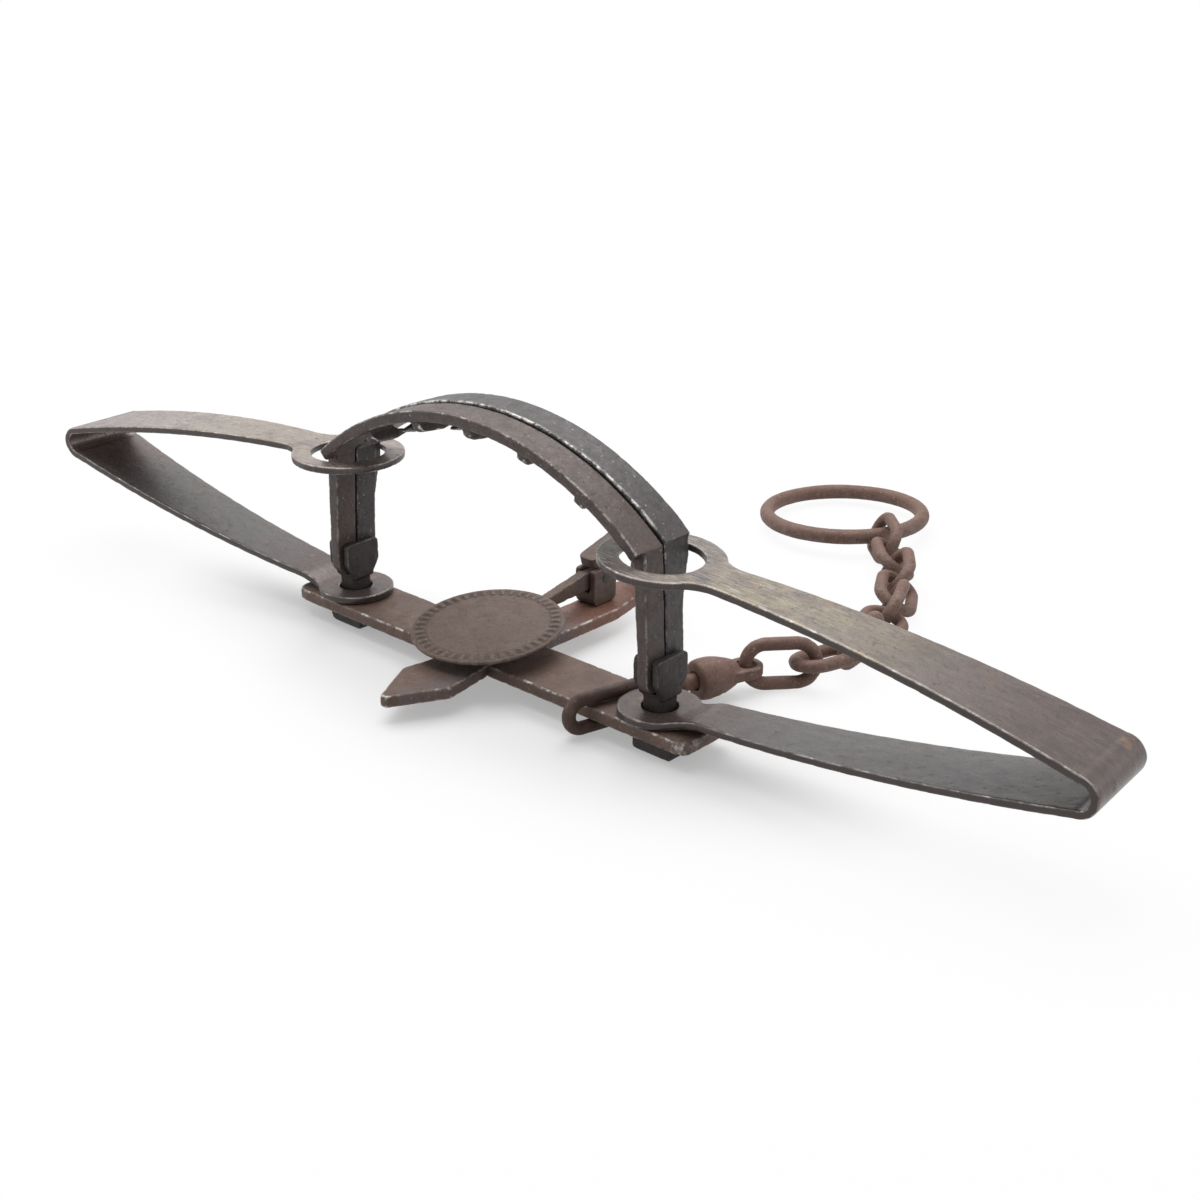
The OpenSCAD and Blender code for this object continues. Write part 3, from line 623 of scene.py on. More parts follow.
def sprung(name, tones, gold, pale=1.0):
    """Spring steel on the strip's own map, which runs from the lower eye round the bend to the upper one:
    tan patina and scratches toward the upper eye, brown at the bend, slate inside and painted shade on the
    sides.
    pale lightens the steel as painted light: a painted sheen on the leaf, and painted light against the shade
    inside the bend."""
    mat, t, body = new_finish(name)
    where = add(t, "ShaderNodeTexCoord").outputs["Object"]
    strip = add(t, "ShaderNodeUVMap", uv_map="strip").outputs["UV"]
    steel, slate, tan, worn = (tuple(c) for c in (tones.steel, tones.slate, tones.tan, tones.worn))
    brown = tuple(tones.spring_brown)
    along = add(t, "ShaderNodeSeparateXYZ", {0: strip}).outputs["X"]

    def drawn_out(x, y, detail=4, rough=0.65, slant=0.0):
        laid = add(t, "ShaderNodeMapping", {"Vector": strip, "Rotation": (0, 0, slant), "Scale": (x, y, 1)})
        return cloud(t, laid.outputs[0], 1.0, detail, rough)

    broad = drawn_out(34, 70, 5, 0.65)
    mottle = drawn_out(150, 330, 6, 0.72)
    grit = cloud(t, where, 1300, 4, 0.7)
    lines = drawn_out(45, 1300, 3, 0.6)
    slanted = drawn_out(110, 1900, 2, 0.5, 0.35)
    near = sums(t, "ADD", along, sums(t, "MULTIPLY", sums(t, "SUBTRACT", broad, 0.5), 0.09))
    # pale lightens the outer steel as painted light: a painted sheen where the leaf is seen at a glancing
    # angle
    outer = blended(t, step(t, near, 0.185, 0.255), shade(brown, pale), shade(steel, pale))
    outer = blended(t, step(t, broad, 0.46, 0.62, 0.0, 0.8), outer, shade(brown, 0.82 * pale))
    patch = sums(t, "MULTIPLY", step(t, near, 0.235, 0.285), step(t, near, 0.332, 0.312))
    flecks = sums(t, "ADD", broad, sums(t, "MULTIPLY", mottle, 0.8))
    patch = sums(t, "MULTIPLY", patch, step(t, flecks, 0.72, 0.98))
    outer = blended(t, sums(t, "MULTIPLY", patch, gold), outer, tan)
    inner = blended(t, step(t, near, 0.055, 0.02), slate, shade(brown, 1.05))
    inner = blended(t, step(t, broad, 0.52, 0.70, 0.0, 0.5), inner, shade(brown, 0.9))
    bend = sums(t, "MULTIPLY", step(t, along, 0.120, 0.165), step(t, along, 0.230, 0.175))
    # pale squared lightens the inside of the bend as painted light against the shade that falls there
    inner = blended(t, sums(t, "MULTIPLY", bend, 0.7), inner, shade(brown, 0.75 * pale * pale))
    colour = blended(t, kept(t, "inside"), outer, inner)
    colour = blended(t, 1.0, colour, step(t, mottle, 0.3, 0.7, 0.74, 1.22), "MULTIPLY")
    colour = blended(t, 1.0, colour, step(t, grit, 0.3, 0.7, 0.84, 1.16), "MULTIPLY")
    spots = step(t, cloud(t, where, 110, 3, 0.55), 0.64, 0.71)
    colour = blended(t, sums(t, "MULTIPLY", spots, 0.55), colour, tuple(tones.rust_spot))
    scratch = sums(t, "MULTIPLY", step(t, slanted, 0.56, 0.66), step(t, near, 0.25, 0.31))
    scratch = sums(t, "MAXIMUM", scratch, sums(t, "MULTIPLY", step(t, lines, 0.62, 0.74), 0.45))
    colour = blended(t, sums(t, "MULTIPLY", scratch, 0.5), colour, worn)
    dark = step(t, cloud(t, where, 430, 3, 0.6), 0.41, 0.32)
    colour = blended(t, sums(t, "MULTIPLY", dark, 0.6), colour, shade(brown, 0.42))
    # painted shade on the strip's side faces
    colour = blended(t, sums(t, "MULTIPLY", kept(t, "side"), 0.85), colour, shade(brown, 0.5))
    broken = step(t, drawn_out(130, 130, 5, 0.75), 0.40, 0.62, 0.05, 0.9)
    rub = sums(t, "MULTIPLY", kept(t, "wear"), broken)
    colour = blended(t, rub, colour, worn)
    t.links.new(colour, body.inputs["Base Color"])
    gloss = step(t, mottle, 0.25, 0.75, 0.36, 0.24)
    t.links.new(sums(t, "ADD", gloss, sums(t, "MULTIPLY", dark, 0.15)), body.inputs["Roughness"])
    t.links.new(sums(t, "MAXIMUM", sums(t, "MULTIPLY", rub, 0.7), 0.3), body.inputs["Metallic"])
    height = sums(t, "ADD", sums(t, "MULTIPLY", grit, 0.4), sums(t, "MULTIPLY", mottle, 0.5))
    height = sums(t, "SUBTRACT", height, sums(t, "MULTIPLY", sums(t, "ADD", dark, scratch), 0.3))
    raise_grain(t, body, height, 0.45, 0.00014)
    return mat


def finish(context, name):
    """A finish by its name, made when it is first asked for."""
    found = bpy.data.materials.get(name)
    if found:
        return found
    c = context.scene.trap_tones
    dull = shade(c.worn, 0.6)
    # the left spring's pale makes a lighter copy of the same steel, as painted sheen and painted light
    springs = {"left_steel": {"gold": 0.7, "pale": 1.65}, "right_steel": {"gold": 1.0}}
    if name in springs:
        return sprung(name, c, **springs[name])
    irons = {
        "forged_front_jaw": dict(skin=c.jaw_brown, bloom=c.jaw, worn=c.worn, metal=0.25, rough=0.50,
                                 bloom_at=0.54, wear=1.5, specks=0.5, vary=0.22),
        "forged_rear_jaw": dict(skin=c.jaw, bloom=shade(c.jaw_brown, 0.8), worn=c.worn, metal=0.3, rough=0.46,
                                bloom_at=0.60, wear=1.1, specks=0.6, vary=0.22),
        "forged_post": dict(skin=c.post, bloom=shade(c.jaw_brown, 0.5), worn=dull, metal=0.2, rough=0.55,
                            bloom_at=0.6, wear=0.4),
        "forged_bar": dict(skin=c.base, bloom=shade(c.base, 0.66), worn=c.worn, metal=0.15, rough=0.55,
                           bloom_at=0.58, wear=0.9, specks=0.3),
        "forged_arm": dict(skin=shade(c.base, 0.9), bloom=shade(c.jaw, 1.6), worn=c.worn, metal=0.15,
                           rough=0.55, bloom_at=0.56, wear=0.9, specks=0.3,
                           zone=("Y", 0.014, 0.055, c.red_rust)),
        "cast_pan": dict(skin=c.pan, bloom=shade(c.pan, 0.8), worn=dull, metal=0.1, rough=0.6, bloom_at=0.6,
                         wear=0.3, specks=0.12, vary=0.08),
        "forged_dog": dict(skin=shade(c.base, 0.62), bloom=shade(c.red_rust, 0.6), worn=dull, metal=0.1,
                           rough=0.58, bloom_at=0.62, wear=0.4, specks=0.2),
        "dark_bow": dict(skin=shade(c.chain, 0.45), bloom=shade(c.chain, 0.8), worn=dull, metal=0.1,
                         rough=0.6, bloom_at=0.6, wear=0.15, zone=("Y", 0.012, 0.024, c.chain)),
        "rusted_chain": dict(skin=c.chain, bloom=shade(c.red_rust, 0.62), worn=shade(c.worn, 0.85),
                             metal=0.05, rough=0.62, bloom_at=0.58, wear=0.15, specks=0.5, vary=0.12),
        "rivet_iron": dict(skin=shade(c.post, 1.2), bloom=c.jaw_brown, worn=dull, metal=0.25, rough=0.5,
                           bloom_at=0.6, wear=0.5),
    }
    return iron(name, **irons[name])


# pieces

class TRAP_OT_bars(Operator):
    """Base bar, pointed cross bar with its turned-up end, and the rivet that joins them"""
    bl_idname = "trap.bars"
    bl_label = "Bars"

    def execute(self, context):
        d = measures(context)
        settle(self.base_bar(d), "base", "base_iron", finish(context, "forged_bar"), "base_bar")
        settle(self.cross_bar(d), "base", "base_iron", finish(context, "forged_arm"), "cross_bar")
        settle(self.centre_rivet(d), "base", "base_iron", finish(context, "rivet_iron"), "centre_rivet")
        return {"FINISHED"}

    @staticmethod
    def base_bar(d):
        """A round left end and a worn right one, joined by a half-thick middle under the cross bar."""
        half, w, c = d.post_x + d.bar_over, d.bar_w / 2, d.cross_w / 2
        left = [(-half, -w + 5), (-half + 0.7, -w + 2.6), (-half + 2.4, -w + 0.8), (-half + 6, -w), (-c, -w)]
        bm = bmesh.new()
        slab(bm, left + [(x, -y) for x, y in reversed(left)], d.foot_h, d.bar_top)
        slab(bm, [(c, -w), (half - 4, -w), (half - 1.2, -w + 0.8), (half, -w + 3), (half, w - 2),
                  (half - 0.7, w - 0.6), (half - 2, w), (c, w)], d.foot_h, d.bar_top)
        block(bm, (-c - 1, c + 1), (-w, w), (d.foot_h, d.bar_mid))

        def bright_corner(co, wear):
            away = np.hypot(co[:, 0] - half, co[:, 1] + w) + 1.5 * np.abs(co[:, 2] - d.bar_top + 2)
            return np.maximum(wear, 0.85 * smooth((13 - away) / 9))

        return forge("base_bar_skin", bm, 0.6, hammer=0.16, seed=1.0, rub=bright_corner)

    @staticmethod
    def cross_bar(d):
        """Spear-pointed near arm, a lap over the base bar, and a far arm turned up into two knuckles."""
        w, c, t, tip = d.bar_w / 2, d.cross_w / 2, d.bar_t / 2, d.cross_tip
        barb, blunt = c + 3.6, 1.6
        bm = bmesh.new()
        near = slab(bm, [(-blunt, -tip), (blunt, -tip), (barb, -tip + d.spear), (c, -w), (-c, -w),
                         (-barb, -tip + d.spear)], d.foot_h, d.bar_top)
        rims = [e for e in edges_of(near) if all(v.co.z > d.bar_top - 0.01 for v in e.verts)]
        ease(bm, [e for e in rims if min(v.co.y for v in e.verts) < -w - 1], 0.7, 2)
        block(bm, (-c, c), (-w - 1, w + 1), (d.bar_mid, d.bar_top))

        inner = 6
        outer = inner + d.bar_t
        turn_y, up, taper_y = d.dog_y - t - inner, d.up_half, 60
        slab(bm, [(-c, w), (c, w), (c, taper_y), (d.pan_x + up, turn_y + 0.5), (d.pan_x - up, turn_y + 0.5),
                  (-c, taper_y)], d.foot_h, d.bar_top)
        turns = [math.radians(a) for a in range(0, 91, 10)]

        def bend(r, angles):
            return [(turn_y + r * math.sin(a), d.foot_h + outer - r * math.cos(a)) for a in angles]

        notch = d.dog_z - 5
        upright = [(d.dog_y + t, notch), (d.dog_y - t, notch)]
        slab(bm, [(turn_y - 4, d.foot_h)] + bend(outer, turns) + upright + bend(inner, reversed(turns))
             + [(turn_y - 4, d.bar_top)], d.pan_x - up, d.pan_x + up, "X")
        for low, high in ((-up, -d.dog_slot), (d.dog_slot, up)):
            block(bm, (d.pan_x + low, d.pan_x + high), (d.dog_y - t, d.dog_y + t), (notch - 1, d.dog_z))
            rod(bm, (d.pan_x + low, d.dog_y, d.dog_z), (d.pan_x + high, d.dog_y, d.dog_z), 4.2)
        return forge("cross_bar_skin", bm, 0.55, hammer=0.16, seed=2.0)

    @staticmethod
    def centre_rivet(d):
        bm = bmesh.new()
        rod(bm, (0, 0, d.foot_h + 0.1), (0, 0, d.bar_top), 3)
        knob(bm, (0, 0, d.bar_top), 4.9, (1, 1, 0.24))
        return forge("centre_rivet_skin", bm, 0.3, hammer=0.05, seed=3.0)


class TRAP_OT_posts(Operator):
    """Forked posts on squared stems, their jaw pins and the foot blocks"""
    bl_idname = "trap.posts"
    bl_label = "Posts and feet"

    def execute(self, context):
        d = measures(context)
        dark = finish(context, "forged_post")
        for side, x, worn in (("left", -d.post_x, 3.2), ("right", d.post_x, 1.2)):
            settle(self.post(d, side, x), "base", "base_iron", dark, side + "_post")
            settle(self.pins(d, side, x), "base", "base_iron", dark, side + "_jaw_pins")
            settle(self.foot(d, side, x, worn), "base", "base_iron", dark, side + "_foot")
        return {"FINISHED"}

    @staticmethod
    def post(d, side, x):
        """Two rounded ears on a stem with broken corners, and a tenon through bar and foot."""
        y, top, floor = d.fork_y, d.fork_top, d.slot_floor
        stem, flat, tenon = 4.9, 3.7, 4
        root = [(stem, d.stem_top - 1.4), (5.3, floor - 0.2)]
        ear = mirrored(root + [(y - 1.6, floor + 2.0), (y - 0.4, floor + 4.0), (y, floor + 5.4),
                               (y, top - 1.7), (y - 0.5, top - 0.5), (y - 1.6, top)])
        bm = bmesh.new()
        slab(bm, ear, x - d.fork_x, x - d.slot, "X")
        slab(bm, ear, x + d.slot, x + d.fork_x, "X")
        slab(bm, mirrored(root + [(5.5, floor)]), x - d.fork_x + 0.3, x + d.fork_x - 0.3, "X")
        rod(bm, (x, 0, 0.4), (x, 0, d.bar_top + 1), tenon)
        corners = [(stem, -flat), (stem, flat), (flat, stem), (-flat, stem)]
        corners += [(-a, -b) for a, b in corners]
        slab(bm, [(x + a, b) for a, b in corners], d.bar_top, d.stem_top)
        return forge(side + "_post_skin", bm, 0.42, hammer=0.16, pits=0.12, seed=x)

    @staticmethod
    def pins(d, side, x):
        bm = bmesh.new()
        for y in (-d.pin_y, d.pin_y):
            headed_pin(bm, (x, y, d.pivot_z), d.fork_x - 0.1, 1.95, 2.1, 0.1, 0.1)
        return forge(side + "_jaw_pins_skin", bm, 0.28, seed=x + 1, **PIN_MARKS)

    @staticmethod
    def foot(d, side, x, worn):
        """A block under the bar, rounded underneath."""
        mid, along, across = x + d.foot_shift, d.foot_l / 2, d.foot_w / 2
        bm = bmesh.new()
        made = block(bm, (mid - along, mid + along), (-across, across), (0, d.foot_h))
        ease(bm, [e for e in edges_of(made) if all(v.co.z < 0.01 for v in e.verts)], worn, 4)
        return forge(side + "_foot_skin", bm, 0.5, hammer=0.1, seed=x + 2)


class TRAP_OT_jaws(Operator):
    """The two arched jaws with legs, round tails and teeth"""
    bl_idname = "trap.jaws"
    bl_label = "Jaws"

    def execute(self, context):
        d = measures(context)
        for name, side, teeth in (("front_jaw", -1, d.front_teeth), ("rear_jaw", 1, d.front_teeth - 1)):
            bm = bmesh.new()
            inside = d.mate + 0.05
            top = d.jaw_radius - (d.jaw_step if side < 0 else 0.0)
            self.arch(bm, d, side, inside, top)
            for end in (-1, 1):
                self.leg(bm, d, side, end, inside)
            for i in range(int(teeth)):
                self.tooth(bm, d, side, (i - (teeth - 1) / 2) * d.tooth_pitch)
            rub, painted_shade = self.marks(d, side < 0, top)
            jaw = forge(name + "_skin", bm, 0.52, hammer=0.2, pits=0.16, nicks=0.14, seed=10.0 + side,
                        rub=rub, painted_shade=painted_shade)
            settle(jaw, name, "jaw_iron", finish(context, "forged_" + name), name)
        return {"FINISHED"}

    @staticmethod
    def arch(bm, d, side, y0, r1):
        """A bar with broken corners, turned from shoulder to shoulder."""
        r0, y1 = d.arch_in, d.jaw_w
        outline = [(r0 + 0.6, y0), (r1 - 0.5, y0), (r1 - 0.15, y0 + 0.15), (r1, y0 + 0.5), (r1, y1 - 0.5),
                   (r1 - 0.5, y1), (r0 + 0.6, y1), (r0, y1 - 0.6), (r0, y0 + 0.6)]
        across, up = math.cos(d.knee), math.sin(d.knee)
        rim = [bm.verts.new((r * across, side * y, d.arch_z + r * up)) for r, y in outline]
        edges = [bm.edges.new((a, b)) for a, b in zip(rim, rim[1:] + rim[:1])]
        bmesh.ops.spin(bm, geom=rim + edges, cent=(0, 0, d.arch_z), axis=(0, -1, 0),
                       angle=math.pi - 2 * d.knee, steps=96)
        close_ends(bm, list(bm.verts))

    @staticmethod
    def leg(bm, d, side, end, y0):
        """A leg that leans in under the shoulder, with a round tail on its pin.
        The rear jaw's leg widens to the arch at its top."""
        x, lean, t = end * d.post_x, end * d.leg_lean, end * d.leg_t / 2
        bend_z = d.fork_top + 1
        shoulder = (x + end * 1.0, d.arch_z + d.jaw_radius * math.sin(d.knee) - 0.8)
        low, high = sorted((side * y0, side * (d.mate + d.leg_w)))
        slab(bm, [(x - t, d.pivot_z), (x + t, d.pivot_z), (x + t, bend_z), shoulder, (x - lean, d.leg_top),
                  (x - lean - t, d.leg_top - 1), (x - t, bend_z)], low, high, "Y")
        half = d.leg_t / 2
        tail = side * d.pin_y
        rod(bm, (x - half, tail, d.pivot_z), (x + half, tail, d.pivot_z), d.leg_w / 2, 32)
        if side > 0:
            made = slab(bm, [(6, d.leg_top - 26), (9.9, d.leg_top - 26), (d.jaw_w - 0.4, d.leg_top - 8),
                             (d.jaw_w - 0.1, d.leg_top - 1), (6, d.leg_top - 1)], x - half, x + half, "X")
            for v in made:
                v.co.x -= 0.7 * lean * np.clip((v.co.z - bend_z) / (d.leg_top - bend_z), 0, 1)

    @staticmethod
    def tooth(bm, d, side, along):
        """A nib under the arch that reaches past the middle to the other jaw."""
        r0, w, half = d.arch_in, d.jaw_w, 2.3
        nib = [(w - 1.6, r0 + 0.6), (d.mate, r0 + 0.6), (d.mate, r0 - 1.1), (-6, r0 - 2.8), (-6.4, r0 - 4),
               (0, r0 - 5.4), (w - 4, r0 - 4.6), (w - 1.8, r0 - 2.6)]
        made = slab(bm, [(side * a, d.arch_z + b) for a, b in nib], -half, half, "X")
        bmesh.ops.rotate(bm, verts=made, cent=(0, 0, d.arch_z),
                         matrix=Matrix.Rotation(math.asin(along / r0), 3, "Y"))

    @staticmethod
    def marks(d, front, top):
        """Rub on the arch's outer edges, bright along the rear jaw's mating edge, and painted shade in the
        seam where the jaws meet.
        """
        def rub(co, wear):
            y, out = np.abs(co[:, 1]), np.hypot(co[:, 0], co[:, 2] - d.arch_z) - top
            if front:
                wear = wear * smooth((y - 1.8) / 1.2)
            else:
                wear = np.maximum(wear, 0.65 * smooth((1.5 - y) / 0.5) * smooth((out + 1.3) / 0.5))
            return wear * (0.3 + 0.7 * smooth((co[:, 2] - d.leg_top + 10) / 8))

        # painted shade along the seam where the two jaws meet, stronger on the front jaw
        def painted_shade(co, hollow):
            return np.maximum(hollow, smooth((1.0 - np.abs(co[:, 1])) / 0.5) * (1.0 if front else 0.5))

        return rub, painted_shade


class TRAP_OT_springs(Operator):
    """Two leaf springs, each one strip bent back on itself between its lower and upper eye"""
    bl_idname = "trap.springs"
    bl_label = "Springs"

    leaf_from = 24
    low_lift, low_sag, high_crown = 3.4, 12, 13.6

    def execute(self, context):
        d = measures(context)
        for side, sign, bend_z, eye_z, eye_tip, swing in (
                ("left", -1, d.left_bend_z, d.left_eye_z, 0.0, d.left_swing),
                ("right", 1, d.right_bend_z, d.right_eye_z, 0.07, d.right_swing)):
            obj = forge(side + "_spring_strip", self.flat_strip(d), 0.58, soften=1, hammer=0.05, pits=0.03,
                        nicks=0.06, seed=20.0 + sign)
            mesh = obj.data
            flat, face = points(mesh), np.abs(normals(mesh)[:, 2])
            # side: the strip's edge faces, which the finish darkens as painted shade
            note(mesh, "side", smooth((0.75 - face) / 0.35))
            note(mesh, "wear", smooth((face - 0.5) / 0.25) * smooth((0.985 - face) / 0.1))
            s, z, ts, tz = self.bent(d, flat[:, 0], bend_z, eye_z, eye_tip)
            w = flat[:, 2]
            co = np.stack([sign * (s - tz * w), flat[:, 1], z + ts * w], 1)
            turned = np.array(Matrix.Rotation(swing, 3, "Z"))
            put(mesh, co @ turned.T + np.array([sign * d.post_x, 0, 0]))
            if sign < 0:
                mesh.flip_normals()
            note(mesh, "inside", smooth((w / (d.spring_t / 2) + 0.25) / 0.5))
            self.lay_map(mesh, flat)
            paint(obj, finish(context, side + "_steel"))
            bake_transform(obj)
            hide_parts(side + "_spring_lower", side + "_spring_upper")
        return {"FINISHED"}

    @staticmethod
    def neck(d, r, fillet):
        """Half of a leaf's rounded neck from its eye to its straight edge, and where it leaves the eye."""
        h, k = d.neck_w / 2, r - 0.3 + fillet
        run = math.sqrt(k * k - (h + fillet) ** 2)
        a0 = math.atan2(h + fillet, run)
        turns = [math.pi + a0 + (math.pi / 2 - a0) * i / 10 for i in range(11)]
        return [(run + fillet * math.cos(a), h + fillet + fillet * math.sin(a)) for a in turns], a0

    def flat_strip(self, d):
        """The strip before it is bent: both eyes, and the tapered leaves between them."""
        t, whole, wide = d.spring_t / 2, d.strip, d.bend_w / 2
        low_in, up_in = d.low_eye_d / 2, d.eye_d / 2
        low_out, up_out = low_in + d.low_wall, up_in + d.eye_wall
        low_neck, low_a = self.neck(d, low_out, 8)
        up_neck, up_a = self.neck(d, up_out, 13)
        bm = bmesh.new()
        washer(bm, 0, low_in, low_out, -t, t)
        washer(bm, whole, up_in, up_out, -t, t)
        edge = low_neck + [(d.bend_s, wide - 0.5), (whole / 2, wide - 0.1), (whole - d.bend_s, wide - 0.5)]
        edge += [(whole - x, y) for x, y in reversed(up_neck)]
        low_mid, up_mid = 11.2, (up_in + up_out) / 2
        fan = (-0.8, -0.4, 0, 0.4, 0.8)
        near = [(low_mid * math.cos(low_a * k), low_mid * math.sin(low_a * k)) for k in fan]
        far = [(whole - up_mid * math.cos(up_a * k), up_mid * math.sin(up_a * k)) for k in reversed(fan)]
        slab(bm, edge + far + [(x, -y) for x, y in reversed(edge)] + near, -t, t)
        return bm

    def bent(self, d, x, bend_z, eye_z, eye_tip):
        """Carries points along the flat strip onto the bent one: run, height and the strip's tangent.
        The upper eye rises by eye_tip toward its far side."""
        start, span = self.leaf_from, d.bend_s - self.leaf_from
        z0, z1, z2 = d.low_z + self.low_lift, bend_z - d.bend_c, bend_z + d.bend_c

        def low(s):
            u = (s - start) / span
            eye = d.low_z + self.low_lift * smooth((s - 9) / 15)
            return np.where(s < start, eye, z0 + (z1 - z0) * u - self.low_sag * u * (1 - u))

        def high(s):
            u = np.clip((s - start) / span, 0, 1)
            leaf = eye_z + (z2 - eye_z) * u + self.high_crown * u * (1 - u)
            return leaf + eye_tip * np.maximum(start - s, 0)

        a = (x - d.bend_s) / d.bend_c - math.pi / 2
        back = d.strip - x
        first, last = x < d.bend_s, x > d.bend_s + d.bend_arc
        s = np.where(first, x, np.where(last, back, d.bend_s + d.bend_c * np.cos(a)))
        z = np.where(first, low(x), np.where(last, high(back), bend_z + d.bend_c * np.sin(a)))
        ts = np.where(first, 1.0, np.where(last, -1.0, -np.sin(a)))
        low_slope, high_slope = low(x + 0.5) - low(x - 0.5), high(back - 0.5) - high(back + 0.5)
        tz = np.where(first, low_slope, np.where(last, high_slope, np.cos(a)))
        k = np.hypot(ts, tz)
        return s, z, ts / k, tz / k

    @staticmethod
    def lay_map(mesh, flat):
        """Keeps the flat strip as a UV map in metres."""
        uv = mesh.uv_layers.new(name="strip")
        index = np.empty(len(mesh.loops), np.int32)
        mesh.loops.foreach_get("vertex_index", index)
        uv.data.foreach_set("uv", (flat[index, :2] * MM).astype(np.float32).ravel())


class TRAP_OT_pan(Operator):
    """Round pan with a plain dentil border, its shank, post and pin"""
    bl_idname = "trap.pan"
    bl_label = "Pan"

    wall_in, wall_out = 2.7, 5.5

    def execute(self, context):
        d = measures(context)
        dark, small = finish(context, "forged_dog"), finish(context, "rivet_iron")
        place = Matrix.Translation((d.pan_x, d.pan_y, d.pan_top)) @ Matrix.Rotation(d.pan_tilt, 4, "X")
        settle(self.plate(d, place), "pan", "pan_iron", finish(context, "cast_pan"), "pan", "pan_rivet")
        settle(self.shank(d, place), "pan", "pan_iron", dark, "pan_shank")
        settle(self.post(d), "base", "base_iron", dark, "pan_post")
        settle(self.pin(d), "base", "base_iron", small, "pan_pin")
        repaint("pan_post_rivet", small)
        return {"FINISHED"}

    @staticmethod
    def plate(d, place):
        """A dished plate with its rivet and a sunk border of uneven bars."""
        r, t = d.pan_d / 2, d.pan_t
        bm = bmesh.new()
        lathe(bm, [(0, -t), (r - 0.7, -t), (r - 0.1, -t + 0.5), (r, -t + 0.9), (r - 0.1, -0.25),
                   (r - 0.6, 0.05), (r - 1.1, 0.02), (r - 1.5, -0.22), (r - 6.0, -0.22), (r - 6.4, 0.0),
                   (r - 6.9, 0.0), (r - 7.3, -0.1), (0, 0)], steps=120)
        lathe(bm, [(0, -t - 3.7), (2.3, -t - 3.7), (2.4, -0.1), (2.2, 0.06), (0, 0.12)])
        for i in range(int(d.dentils)):
            odd = noise.noise((i * 1.7, 0.3, 0.9))
            made = slab(bm, [(r - 5.3 - 0.2 * odd, -0.72), (r - 1.8, -0.85 - 0.1 * odd), (r - 1.7, 0.8),
                             (r - 5.2 + 0.25 * odd, 0.7 - 0.08 * odd)], -0.6, 0.46 + 0.05 * odd)
            bmesh.ops.rotate(bm, verts=made, cent=(0, 0, 0),
                             matrix=Matrix.Rotation(math.tau * i / d.dentils, 3, "Z"))
        pan = forge("pan_skin", bm, 0.36, soften=2, hammer=0.08, pits=0.05, nicks=0.1, seed=30.0)
        pan.data.transform(place)
        return pan

    @staticmethod
    def shank(d, place):
        """A flat bar under the pan that runs up to its pin, with a round seat for the rivet."""
        t, half = d.pan_t, 2.4
        under = d.pan_top - t / math.cos(d.pan_tilt) - 0.02
        py, pz = d.pan_pin_y, d.pan_pin_z
        y0, y1 = -13, 22

        def below(y):
            return under + math.tan(d.pan_tilt) * (y - d.pan_y)

        bm = bmesh.new()
        slab(bm, [(y0, below(y0) - 2.6), (y0 + 3, below(y0 + 3) - 3.8), (y1 + 4, below(y1) - 4),
                  (py - 4, pz - 4), (py + 3, pz - 3), (py + 2, pz + 3.4), (py - 6.5, pz + 3.2),
                  (py - 9, pz + 3.8), (py - 15, pz + 2.4), (y1 + 6, below(y1 + 6)), (y0, below(y0))],
             d.pan_x - half, d.pan_x + half, "X")
        rod(bm, (d.pan_x - half, py, pz), (d.pan_x + half, py, pz), 4)
        lathe(bm, [(0, -t - 3.8), (6, -t - 3.8), (6, -t - 0.03), (0, -t - 0.03)], place)
        return forge("pan_shank_skin", bm, 0.42, hammer=0.1, seed=31.0)

    def post(self, d):
        """Two walls on a solid foot."""
        py, y0, low, top = d.pan_pin_y, d.dog_rest, d.bar_top, d.pan_post_top
        foot_z = d.pan_pin_z - 5.2
        toe = [(y0 + 1, low), (py + 4.6, low), (py + 6, low + 2)]
        wall = toe + [(py + 6.6, top - 3), (py + 6.1, top - 1), (py + 4.6, top), (y0, top),
                      (y0 - 0.6, low + 3)]
        bm = bmesh.new()
        slab(bm, wall, d.pan_x - self.wall_out, d.pan_x - self.wall_in, "X")
        slab(bm, wall, d.pan_x + self.wall_in, d.pan_x + self.wall_out, "X")
        slab(bm, toe + [(py + 6.3, foot_z), (y0 - 0.4, foot_z), (y0 - 0.6, low + 3)],
             d.pan_x - self.wall_out, d.pan_x + self.wall_out, "X")
        return forge("pan_post_skin", bm, 0.38, hammer=0.1, seed=32.0)

    def pin(self, d):
        bm = bmesh.new()
        headed_pin(bm, (d.pan_x, d.pan_pin_y, d.pan_pin_z), self.wall_out + 0.2, 1.58, 2.2, 0.05, 0.2)
        return forge("pan_pin_skin", bm, 0.26, seed=33.0, **PIN_MARKS)


